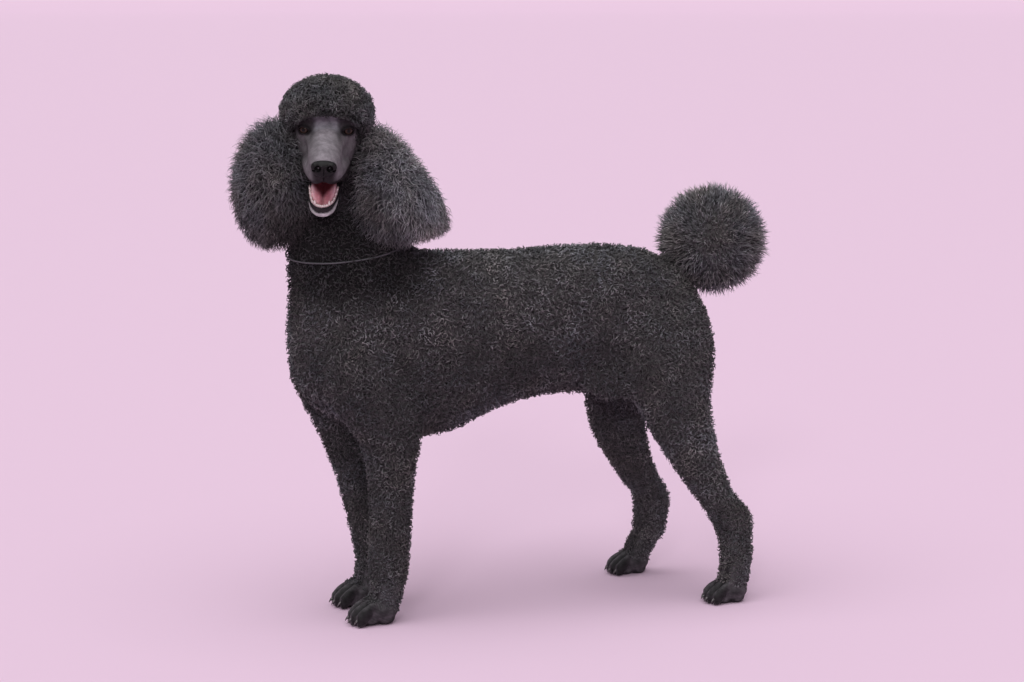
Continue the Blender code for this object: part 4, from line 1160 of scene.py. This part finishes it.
def face_colours(points):
    """Shaved skin: grey, with dark lips and lids and a pale chin; a painted highlight down the bridge and
    painted sheen on the forehead; painted shade round the eyes, under the brows and the nose, in the hollows
    and tear grooves, on the lower lips, inside the mouth and where the coat begins. Also how wet it is.
    """
    local, x, ahead, z = faceward(points)
    jaw = moved(points, JAW.inverted())
    jaw_ahead, jaw_up = -jaw[:, 1], jaw[:, 2]
    # Painted highlight down the bridge.
    bridge = smoothstep(0.024, 0.002, x) * smoothstep(-0.02, 0.02, ahead) * smoothstep(-0.030, -0.005, z)
    # Painted sheen on the forehead.
    forehead = smoothstep(0.026, 0.016, x) * smoothstep(-0.004, 0.006, z) * smoothstep(0.034, 0.018, ahead)
    # Painted shade in the hollows beside the muzzle, stronger on one side.
    hollow_shade = smoothstep(0.020, 0.030, x) * smoothstep(0.070, 0.040, ahead)
    hollow_shade = hollow_shade * np.where(local[:, 0] > 0, 0.45, 0.85)
    # Painted shade in the tear grooves.
    tear_groove_shade = bump(x, 0.0215, 0.0070) * smoothstep(0.000, 0.012, ahead) * smoothstep(0.066, 0.035, ahead)
    # Painted shade on the lower part of the hanging lips.
    flews_shade = smoothstep(-0.034, -0.050, z) * smoothstep(0.03, 0.06, ahead)
    # Painted shade under the nose.
    under_nose_shade = smoothstep(0.024, 0.012, x) * smoothstep(0.085, 0.098, ahead) * smoothstep(-0.020, -0.030, z)
    # Painted shade where the coat begins at the nape and throat.
    coated_in_shade = np.maximum(smoothstep(0.045, 0.015, ahead) * smoothstep(-0.036, -0.052, z),
                        smoothstep(0.000, -0.020, ahead))
    lip = smoothstep(-0.044, -0.052, z) * smoothstep(-0.01, 0.02, ahead) * (jaw_up > -0.052)
    rim = (jaw_up > -0.0630) * smoothstep(0.010, 0.030, jaw_ahead) * (z < -0.045)
    chin = smoothstep(-0.0612, -0.0630, jaw_up) * smoothstep(-0.0790, -0.0730, jaw_up)
    chin = chin * smoothstep(0.046, 0.076, jaw_ahead) * (z < -0.050)
    colours = np.broadcast_to(np.array(SHAVED_GREY), points.shape).copy()
    for colour, amount in (
            (BRIDGE_HIGHLIGHT_GREY, 0.65 * bridge),
            (FOREHEAD_SHEEN_GREY, forehead),
            (SHADED_SIDE_GREY, hollow_shade),
            (LIP_AND_SHADE_BLACK, 0.55 * tear_groove_shade * smoothstep(-0.040, -0.020, z)),
            (SHADED_SIDE_GREY, 0.8 * flews_shade),
            (LIP_AND_SHADE_BLACK, 0.97 * under_nose_shade),
            (UNDERCOAT_IN_PAINTED_SHADE, coated_in_shade),
            (LIP_AND_SHADE_BLACK, 0.85 * lip),
            (LIP_AND_SHADE_BLACK, 0.90 * rim),
            (CHIN_GREY, chin)):
        colours = blend_to(colours, colour, amount)
    colours = colours * (1.0 + 0.18 * ripple(points, 0.024, 71))[:, None]
    for sign in (-1, 1):
        look, across, rise = (np.array(way) for way in eye_axes(sign))
        offset = local - np.array(eye_centre(sign))
        near = (offset @ look) > 0.0
        measure = np.sqrt((offset @ across / EYE_OPENING[0]) ** 2 + (offset @ rise / EYE_OPENING[1]) ** 2)
        # Dark lids, spread wide as painted shade round each eye, and painted shade under the brow.
        brow_shade = bump(offset @ rise, 0.0120, 0.0120) * bump(offset @ across, 0.0, 0.022) * near
        colours = blend_to(colours, LIP_AND_SHADE_BLACK, near * smoothstep(2.1, 1.35, measure))
        colours = blend_to(colours, LIP_AND_SHADE_BLACK, 0.9 * brow_shade)
    # Inside of the mouth: dark red, deepened by painted shade.
    inner = smoothstep(1.06, 1.02, np.minimum(oval_measure(local, PALATE), oval_measure(jaw, TROUGH)))
    return blend_to(colours, MOUTH_RED_IN_SHADE, inner), np.maximum(inner, 0.35 * np.maximum(lip, rim))


def foot_colours(points):
    """Painted shade between the toes and painted light on top of them, flecked with grey."""
    toe_crest_light = np.zeros(len(points))
    for _, spot, scale, _ in FEET:
        local = (points - np.array((spot.x, spot.y, 0.0))) / scale
        near = (np.abs(local[:, 0]) < 0.040) & (np.abs(local[:, 1]) < 0.060)
        for toe in TOE_SPREAD:
            toe_crest_light = np.maximum(toe_crest_light, near * bump(local[:, 0], toe * 1.10, 0.0062))
    flecks = 0.35 * ripple(points, 0.0055, 75) + 0.25 * ripple(points, 0.014, 76)
    return np.array(FOOT_GREY) * ((0.35 + 1.1 * toe_crest_light) * (1.0 + flecks))[:, None]


def skin_piece(trunk, head, paws):
    """One skin for the whole animal, with its colours."""
    under = len(trunk.data.vertices)
    under_faces = len(trunk.data.polygons)
    face = under + len(head.data.vertices)
    skin = join("skin", [trunk, head] + paws)
    points = points_of(skin.data)
    colours = np.empty_like(points)
    moist = np.zeros(len(points))
    # The trunk's undercoat carries the coat's painted shade at the throat and low down in front.
    colours[:under] = np.array(UNDERCOAT) * (1.0 - 1.2 * painted_shade_of(points[:under]))[:, None]
    colours[under:face], moist[under:face] = face_colours(points[under:face])
    colours[face:] = foot_colours(points[face:])
    paint_colour(skin, "paint", colours)
    paint(skin, "moist", moist)
    dress(skin, undercoat_material(), shaved_material())
    bare = np.arange(len(skin.data.polygons)) >= under_faces
    skin.data.polygons.foreach_set("material_index", bare.astype(np.int32))
    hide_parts(*TRUNK_NODES, *HEAD_NODES, *PAW_NODES)
    return skin


def eye(name, sign):
    """An eye with its pupil and iris painted round the way it looks."""
    bm = bmesh.new()
    add_oval(bm, eye_centre(sign), [EYE_RADIUS] * 3, HEAD, detail=96)
    piece = piece_from(name + "_ball", bm)
    look = turned(np.array([eye_axes(sign)[0]]), HEAD)[0]
    away = unit(points_of(piece.data) - np.array(HEAD @ eye_centre(sign)))
    paint(piece, "gaze", np.arccos(np.clip(away @ look, -1, 1)) * EYE_RADIUS)
    dress(piece, eye_material())
    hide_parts(name)
    return piece


def add_both_sides(bm, ovals):
    """Ellipsoids of the head on its right and its left side."""
    for sign in (-1, 1):
        add_ovals(bm, ovals, HEAD, sign)


def nose():
    """Nose leather with comma-shaped nostrils."""
    bm = bmesh.new()
    add_loft(bm, NOSE_ROWS, SIDE, UP, HEAD, count=48)
    add_both_sides(bm, NOSE_WING)
    piece = piece_from("nose_leather", bm)
    fuse(piece, *NOSE_FUSE)
    carve(piece, lambda tool: add_both_sides(tool, NOSTRIL))
    carve(piece, lambda tool: add_oval(tool, *NOSE_GROOVE, HEAD))
    add_smoothing(piece, 2)
    apply_modifiers(piece)
    dress(piece, nose_material())
    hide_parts("nose")
    return piece


def tongue():
    """Cupped, with a groove down its middle, its tip behind the lower front teeth."""
    bm = bmesh.new()
    add_loft(bm, TONGUE_ROWS, SIDE, UP, UNMOVED, count=72, steps=10)
    piece = piece_from("cupped_tongue", bm)
    points = points_of(piece.data)
    upper = smoothstep(-0.060, -0.054, points[:, 2])
    edge = smoothstep(0.008, 0.019, np.abs(points[:, 0]))
    groove = smoothstep(0.0055, 0.0, np.abs(points[:, 0]))
    points[:, 2] += upper * (0.0030 * edge - 0.0032 * groove)
    points[:, 2] += upper * 0.0004 * ripple(points, 0.010, 81)
    # The groove and the back of the tongue are painted dark: painted shade in the crease and down the throat.
    back = smoothstep(0.078, 0.064, 1.2 * np.abs(points[:, 0]) - points[:, 1])
    paint(piece, "groove", np.maximum(0.45 * groove, back) * upper)
    paint(piece, "edge", edge * upper)
    set_points(piece.data, moved(points, JAW))
    dress(piece, tongue_material())
    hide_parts("tongue")
    return piece


def lower_teeth():
    """Gum ridge, six small front teeth, two fangs and the side teeth."""
    bm = bmesh.new()
    add_gum_tube(bm, 1.05, 48, 0.0, 0.0, 0.0024, 0.0040, 14, UNMOVED)
    for t, height, half in SIDE_TEETH + [FANG] + FRONT_TEETH:
        for sign in (-1, 1):
            foot = gum_point(sign * t)
            tooth = [
                (foot.x, foot.y, foot.z + 0.0005, half, half, 2.0),
                (foot.x * 1.01, foot.y, foot.z + 0.0040, half, half * 0.95, 2.2),
                (foot.x * 1.03, foot.y, foot.z + 0.0028 + height * 0.7, half * 0.75, half * 0.6, 2.2),
                (foot.x * 1.04, foot.y, foot.z + 0.0034 + height, half * 0.25, half * 0.22, 2.0)]
            add_loft(bm, tooth, SIDE, ALONG, UNMOVED, steps=4, count=14)
    piece = piece_from("teeth_and_gum", bm)
    points = points_of(piece.data)
    paint(piece, "enamel", smoothstep(-0.0539, -0.0532, points[:, 2]))
    set_points(piece.data, moved(points, JAW))
    dress(piece, teeth_material())
    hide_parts("lower_teeth")
    return piece


def claws():
    """All the short curved claws."""
    bm = bmesh.new()
    names = []
    for foot, spot, scale, _ in FEET:
        for i, (spread, reach) in enumerate(zip(TOE_SPREAD, TOE_REACH)):
            rows = [
                (spread * 1.17, -reach - 0.0010, 0.0120, 0.0021, 0.0023, 2.0),
                (spread * 1.18, -reach - 0.0078, 0.0112, 0.0023, 0.0025, 2.0),
                (spread * 1.19, -reach - 0.0108, 0.0088, 0.0018, 0.0020, 2.0),
                (spread * 1.20, -reach - 0.0124, 0.0062, 0.0008, 0.0010, 2.0)]
            add_loft(bm, rows, SIDE, UP, foot_place(spot, scale), steps=5, count=16)
            names.append("claw_" + foot + "_" + str(i + 1))
    piece = piece_from("claws", bm)
    dress(piece, claw_material())
    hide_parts(*names)
    return piece


def collar_line(middle):
    """The cord's line round the neck, at the height of the solid collar, eased by averaging."""
    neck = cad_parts["neck"].data
    surface = BVHTree.FromPolygons([vertex.co for vertex in neck.vertices],
                                   [tuple(face.vertices) for face in neck.polygons])
    old = points_of(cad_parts["collar"].data)
    angles = np.arctan2(old[:, 1] - middle[1], old[:, 0] - middle[0])
    spots = []
    for i in range(COLLAR_STEPS):
        angle = 2 * pi * i / COLLAR_STEPS
        out = Vector((cos(angle), sin(angle), 0.0))
        gap = np.abs((angles - angle + pi) % (2 * pi) - pi)
        near = np.exp(-(gap / 0.16) ** 2)
        height = float((old[:, 2] * near).sum() / near.sum())
        hit = surface.ray_cast(Vector((middle[0], middle[1], height)), out)[0]
        front = smoothstep(0.25, 0.60, -out.y)
        spots.append(hit + out * (COLLAR_SUNK + (COLLAR_LIFT - COLLAR_SUNK) * front))
    spots = np.array([tuple(spot) for spot in spots])
    for _ in range(6):
        spots = (np.roll(spots, 1, axis=0) + spots + np.roll(spots, -1, axis=0)) / 3
    return spots


def collar():
    """A thin cord round the foot of the neck, half sunk in the coat."""
    middle = points_of(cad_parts["collar"].data).mean(axis=0)
    bm = bmesh.new()
    rings = []
    for spot in collar_line(middle):
        out = Vector(spot - middle)
        out.z = 0.0
        out.normalize()
        rings.append(oval_ring(Vector(spot), out, UP, COLLAR_RADIUS, COLLAR_RADIUS, 2.0, 10))
    add_rings(bm, rings, UNMOVED, closed=True)
    piece = piece_from("collar_cord", bm)
    dress(piece, cord_material())
    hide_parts("collar")
    return piece


# Materials


def shader(name, roughness, specular=0.5, coat=0.0, coat_roughness=0.1, sheen=0.0):
    """A material with its Principled shader set by plain numbers."""
    material = bpy.data.materials.new(name)
    material.use_nodes = True
    tree = material.node_tree
    surface = tree.nodes["Principled BSDF"]
    surface.inputs["Roughness"].default_value = roughness
    surface.inputs["Specular IOR Level"].default_value = specular
    surface.inputs["Coat Weight"].default_value = coat
    surface.inputs["Coat Roughness"].default_value = coat_roughness
    surface.inputs["Sheen Weight"].default_value = sheen
    return material, tree, surface


def feed(tree, socket, value):
    """Link a socket to another one, or set it to a plain value."""
    if isinstance(value, bpy.types.NodeSocket):
        tree.links.new(value, socket)
    else:
        socket.default_value = value


def add_node(tree, kind, inputs, operation=""):
    """A node with some of its inputs, by name or number, linked or set."""
    node = tree.nodes.new("ShaderNode" + kind)
    if operation:
        node.operation = operation
    for key, value in inputs.items():
        feed(tree, node.inputs[key], value)
    return node


def placed(tree, kind, inputs):
    """A texture node that follows the piece's own coordinates."""
    place = add_node(tree, "TexCoord", {})
    return add_node(tree, kind, {"Vector": place.outputs["Object"], **inputs})


def noise(tree, scale, detail=3.0, distortion=0.0):
    grain = placed(tree, "TexNoise", {"Scale": scale, "Detail": detail, "Distortion": distortion})
    return grain.outputs["Fac"]


def cells(tree, scale):
    return placed(tree, "TexVoronoi", {"Scale": scale}).outputs["Distance"]


def painted(tree, name, output="Fac"):
    """What a piece stores at its vertices under a name."""
    node = add_node(tree, "Attribute", {})
    node.attribute_name = name
    return node.outputs[output]


def math(tree, operation, first, second):
    """first and second are sockets or numbers."""
    return add_node(tree, "Math", {0: first, 1: second}, operation).outputs[0]


def spread(tree, value, low, high):
    """Turn a value from 0 to 1 into one from low to high."""
    return add_node(tree, "MapRange", {"Value": value, "To Min": low, "To Max": high}).outputs[0]


def ramp(tree, value, stops):
    node = add_node(tree, "ValToRGB", {"Fac": value})
    band = node.color_ramp
    for element, (position, colour) in zip(band.elements, (stops[0], stops[-1])):
        element.position = position
        element.color = (*colour, 1.0)
    for position, colour in stops[1:-1]:
        band.elements.new(position).color = (*colour, 1.0)
    return node.outputs["Color"]


def speckled(tree, scale, dark, light):
    """A colour that wanders between two."""
    return ramp(tree, noise(tree, scale), [(0.3, dark), (0.7, light)])


def mixed(tree, amount, first, second):
    """A colour between two; each is a socket or a colour."""
    node = tree.nodes.new("ShaderNodeMix")
    node.data_type = "RGBA"
    sockets = {socket.identifier: socket for socket in [*node.inputs, *node.outputs]}
    for name, value in (("Factor_Float", amount), ("A_Color", first), ("B_Color", second)):
        feed(tree, sockets[name], value)
    return sockets["Result_Color"]


def scaled_colour(tree, colour, factor):
    return add_node(tree, "VectorMath", {0: colour, "Scale": factor}, "SCALE").outputs[0]


def relief(tree, surface, height, distance, strength=1.0):
    node = add_node(tree, "Bump", {"Distance": distance, "Strength": strength, "Height": height})
    feed(tree, surface.inputs["Normal"], node.outputs["Normal"])


def hair_material(name, lightness):
    """Black curls, brown or blue grey where they stand out."""
    material, tree, surface = shader(name, 0.55, specular=0.22, sheen=0.06)
    tone_and_painted_light = math(tree, "MULTIPLY", painted(tree, "tone_and_painted_light"), spread(tree, noise(tree, 55.0), 0.55, 1.35))
    shades = ((0.10, 0.006), (0.50, 0.018), (0.85, 0.038), (1.00, 0.062))
    grey = ramp(tree, tone_and_painted_light, [(spot, (shade * lightness,) * 3) for spot, shade in shades])
    tint = ramp(tree, noise(tree, 16.0), [(0.35, (1.0, 0.95, 0.92)), (0.65, (0.91, 0.95, 1.04))])
    tinted = add_node(tree, "VectorMath", {0: grey, 1: tint}, "MULTIPLY")
    feed(tree, surface.inputs["Base Color"], tinted.outputs[0])
    relief(tree, surface, noise(tree, 900.0), 0.0006, 0.6)
    return material


def curl_ridges(tree, scale):
    """Worm-like ridges, 1 along their crests and 0 between them."""
    wave = noise(tree, scale, detail=1.5, distortion=1.2)
    away = math(tree, "ABSOLUTE", math(tree, "SUBTRACT", wave, 0.5), 0.0)
    return math(tree, "SUBTRACT", 1.0, math(tree, "MULTIPLY", away, 5.0))


def undercoat_material():
    """Short curls that lie flat under the tufts, with painted light on their crests and painted shade between
    them.
    """
    material, tree, surface = shader("undercoat", 0.65, specular=0.15, sheen=0.04)
    ridges = curl_ridges(tree, 230.0)
    grain = math(tree, "MULTIPLY", spread(tree, ridges, 0.15, 2.10),
                 spread(tree, noise(tree, 45.0), 0.65, 1.35))
    feed(tree, surface.inputs["Base Color"], scaled_colour(tree, painted(tree, "paint", "Color"), grain))
    relief(tree, surface, ridges, 0.0030)
    return material


def shaved_material():
    """Clipped skin: fine stubble and a soft sheen."""
    material, tree, surface = shader("shaved_skin", 0.46, specular=0.14)
    grain = math(tree, "MULTIPLY", spread(tree, noise(tree, 420.0), 0.72, 1.28),
                 spread(tree, noise(tree, 130.0), 0.45, 1.55))
    feed(tree, surface.inputs["Base Color"], scaled_colour(tree, painted(tree, "paint", "Color"), grain))
    feed(tree, surface.inputs["Roughness"],
         math(tree, "SUBTRACT", spread(tree, noise(tree, 90.0), 0.42, 0.56),
              math(tree, "MULTIPLY", painted(tree, "moist"), 0.22)))
    relief(tree, surface, noise(tree, 700.0, 4.0), 0.0007, 0.7)
    return material


def plain_material(name, scale, dark, light, bumps, **shine):
    """Two shades of one colour. bumps names their texture and its scale, depth and strength."""
    material, tree, surface = shader(name, **shine)
    feed(tree, surface.inputs["Base Color"], speckled(tree, scale, dark, light))
    texture, fineness, depth, strength = bumps
    relief(tree, surface, texture(tree, fineness), depth, strength)
    return material


def nose_material():
    return plain_material("nose_leather", 300.0, (0.003, 0.0028, 0.003), (0.009, 0.008, 0.009),
                          (cells, 950.0, 0.0004, 0.8),
                          roughness=0.40, specular=0.16, coat=0.05, coat_roughness=0.22)


def claw_material():
    return plain_material("claw_horn", 500.0, (0.030, 0.027, 0.028), (0.110, 0.100, 0.100),
                          (noise, 1200.0, 0.0002, 0.5),
                          roughness=0.25, coat=0.5, coat_roughness=0.12)


def cord_material():
    return plain_material("collar_cord", 900.0, (0.050, 0.050, 0.054), (0.100, 0.100, 0.108),
                          (noise, 1500.0, 0.0004, 1.0), roughness=0.6, specular=0.4)


def tongue_material():
    material, tree, surface = shader("tongue", 0.33, specular=0.5, coat=0.3, coat_roughness=0.2)
    flesh = speckled(tree, 350.0, (0.58, 0.210, 0.240), (0.72, 0.310, 0.345))
    edged = mixed(tree, painted(tree, "edge"), flesh, (0.86, 0.55, 0.58, 1.0))
    # Painted shade in the groove and at the back of the tongue.
    with_painted_shade = mixed(tree, painted(tree, "groove"), edged, (0.085, 0.014, 0.018, 1.0))
    feed(tree, surface.inputs["Base Color"], with_painted_shade)
    feed(tree, surface.inputs["Subsurface Weight"], 0.08)
    feed(tree, surface.inputs["Subsurface Scale"], 0.004)
    relief(tree, surface, cells(tree, 1500.0), 0.0003, 0.7)
    return material


def teeth_material():
    material, tree, surface = shader("teeth", 0.30, specular=0.5, coat=0.2, coat_roughness=0.15)
    enamel = speckled(tree, 500.0, (0.72, 0.67, 0.60), (0.86, 0.82, 0.76))
    gum = speckled(tree, 400.0, (0.62, 0.44, 0.45), (0.76, 0.58, 0.58))
    feed(tree, surface.inputs["Base Color"], mixed(tree, painted(tree, "enamel"), gum, enamel))
    relief(tree, surface, noise(tree, 900.0), 0.0002, 0.4)
    return material


def eye_material():
    """Brown iris round a black pupil, under a wet surface."""
    material, tree, surface = shader("eye", 0.10, specular=0.08, coat=0.22, coat_roughness=0.03)
    grain = spread(tree, noise(tree, 900.0), -0.0005, 0.0005)
    gaze = math(tree, "MULTIPLY", math(tree, "ADD", painted(tree, "gaze"), grain), 100.0)
    feed(tree, surface.inputs["Base Color"], ramp(tree, gaze, [
        (0.27, (0.001, 0.001, 0.001)),
        (0.32, (0.022, 0.012, 0.008)),
        (0.50, (0.046, 0.025, 0.016)),
        (0.60, (0.008, 0.004, 0.003)),
        (0.78, (0.010, 0.007, 0.006)),
        (1.00, (0.040, 0.030, 0.028))]))
    return material


# Camera, light and floor

CAMERA_PLACE = Vector((3.80882, -1.22957, 1.0035))
CAMERA_WAY = Vector((-0.9511, 0.3090, 0.0))
CAMERA_PITCH = radians(7.885)
CAMERA_LENS = 85.0
CAMERA_SENSOR = 36.0
CAMERA_REACH = 2000.0

# The floor is flat to this radius and rises by this much at twice the radius
FLOOR_FLAT = 300.0
FLOOR_RISE = 120.0
FLOOR_RINGS = 24
FLOOR_SPOKES = 96
FLOOR_PINK = (0.80, 0.595, 0.745, 1.0)
SKY_PINK = (1.0, 0.93, 0.98, 1.0)
SKY_STRENGTH = 0.34

# Name, way to the light, angle that its source fills, strength
SUNS = (
    ("overhead", Vector((0.25, -0.20, 1.0)), radians(70), 2.02),
    ("front", Vector((1.0, -0.50, 0.48)), radians(9), 0.45))


def camera():
    data = bpy.data.cameras.new("photo_view")
    data.lens = CAMERA_LENS
    data.sensor_width = CAMERA_SENSOR
    data.clip_end = CAMERA_REACH
    view = linked("photo_view", data)
    view.location = CAMERA_PLACE
    way = CAMERA_WAY.normalized() * cos(CAMERA_PITCH) - UP * sin(CAMERA_PITCH)
    view.rotation_euler = way.to_track_quat("-Z", "Y").to_euler()
    bpy.context.scene.camera = view


def sun(name, way, spread_angle, strength):
    """Even light from one side, soft by the width of its source."""
    data = bpy.data.lights.new(name, "SUN")
    data.angle = spread_angle
    data.energy = strength
    linked(name, data).rotation_euler = (-way).to_track_quat("-Z", "Y").to_euler()


def room_light():
    world = bpy.data.worlds.new("studio")
    world.use_nodes = True
    sky = world.node_tree.nodes["Background"]
    sky.inputs["Color"].default_value = SKY_PINK
    sky.inputs["Strength"].default_value = SKY_STRENGTH
    bpy.context.scene.world = world


def floor():
    """A wide pink floor that rises far away."""
    bm = bmesh.new()
    rows = []
    for i in range(FLOOR_RINGS + 1):
        reach = FLOOR_FLAT * 2 ** (i / FLOOR_RINGS)
        rise = FLOOR_RISE * (reach / FLOOR_FLAT - 1) ** 2
        angles = [2 * pi * j / FLOOR_SPOKES for j in range(FLOOR_SPOKES)]
        rows.append([bm.verts.new((reach * cos(angle), reach * sin(angle), rise)) for angle in angles])
    bm.faces.new(rows[0])
    for first, second in zip(rows, rows[1:]):
        for j in range(FLOOR_SPOKES):
            bm.faces.new((first[j - 1], first[j], second[j], second[j - 1]))
    ground = piece_from("floor", bm)
    material, tree, surface = shader("floor", 0.85, specular=0.2)
    feed(tree, surface.inputs["Base Color"], FLOOR_PINK)
    dress(ground, material)


def studio():
    floor()
    room_light()
    for light in SUNS:
        sun(*light)
    bpy.context.scene.view_settings.view_transform = "Standard"


# The whole animal


def finish_coat(piece, material):
    dress(piece, material)
    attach(piece, "root")


def main():
    head = head_skin()
    in_head = head_test(head)
    trunk = trunk_skin()
    paws = [paw_skin(spot, scale, leg_rows) for _, spot, scale, leg_rows in FEET]
    short = hair_material("short_curls", SHORT_LIGHTNESS)
    crown = hair_material("crown_curls", CROWN_LIGHTNESS)
    long = hair_material("long_locks", LONG_LIGHTNESS)
    for piece in trunk_coat(trunk, in_head) + [foot_coat(paws), head_coat(head)]:
        finish_coat(piece, short)
    groups = (
        ("ear_left", ear("ear_left", 1, EAR_LEFT, in_head), long),
        ("ear_right", ear("ear_right", -1, EAR_RIGHT, in_head), long),
        ("topknot", topknot(), crown),
        ("tail_pompom", pompom(), long))
    for node, pieces, material in groups:
        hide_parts(node)
        for piece in pieces:
            finish_coat(piece, material)
    body = skin_piece(trunk, head, paws)
    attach(body, "root")
    parts = [eye("eye_left", 1), eye("eye_right", -1), nose(), tongue(), lower_teeth(), claws(), collar()]
    for piece in parts:
        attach(piece, "root")


main()
camera()
studio()
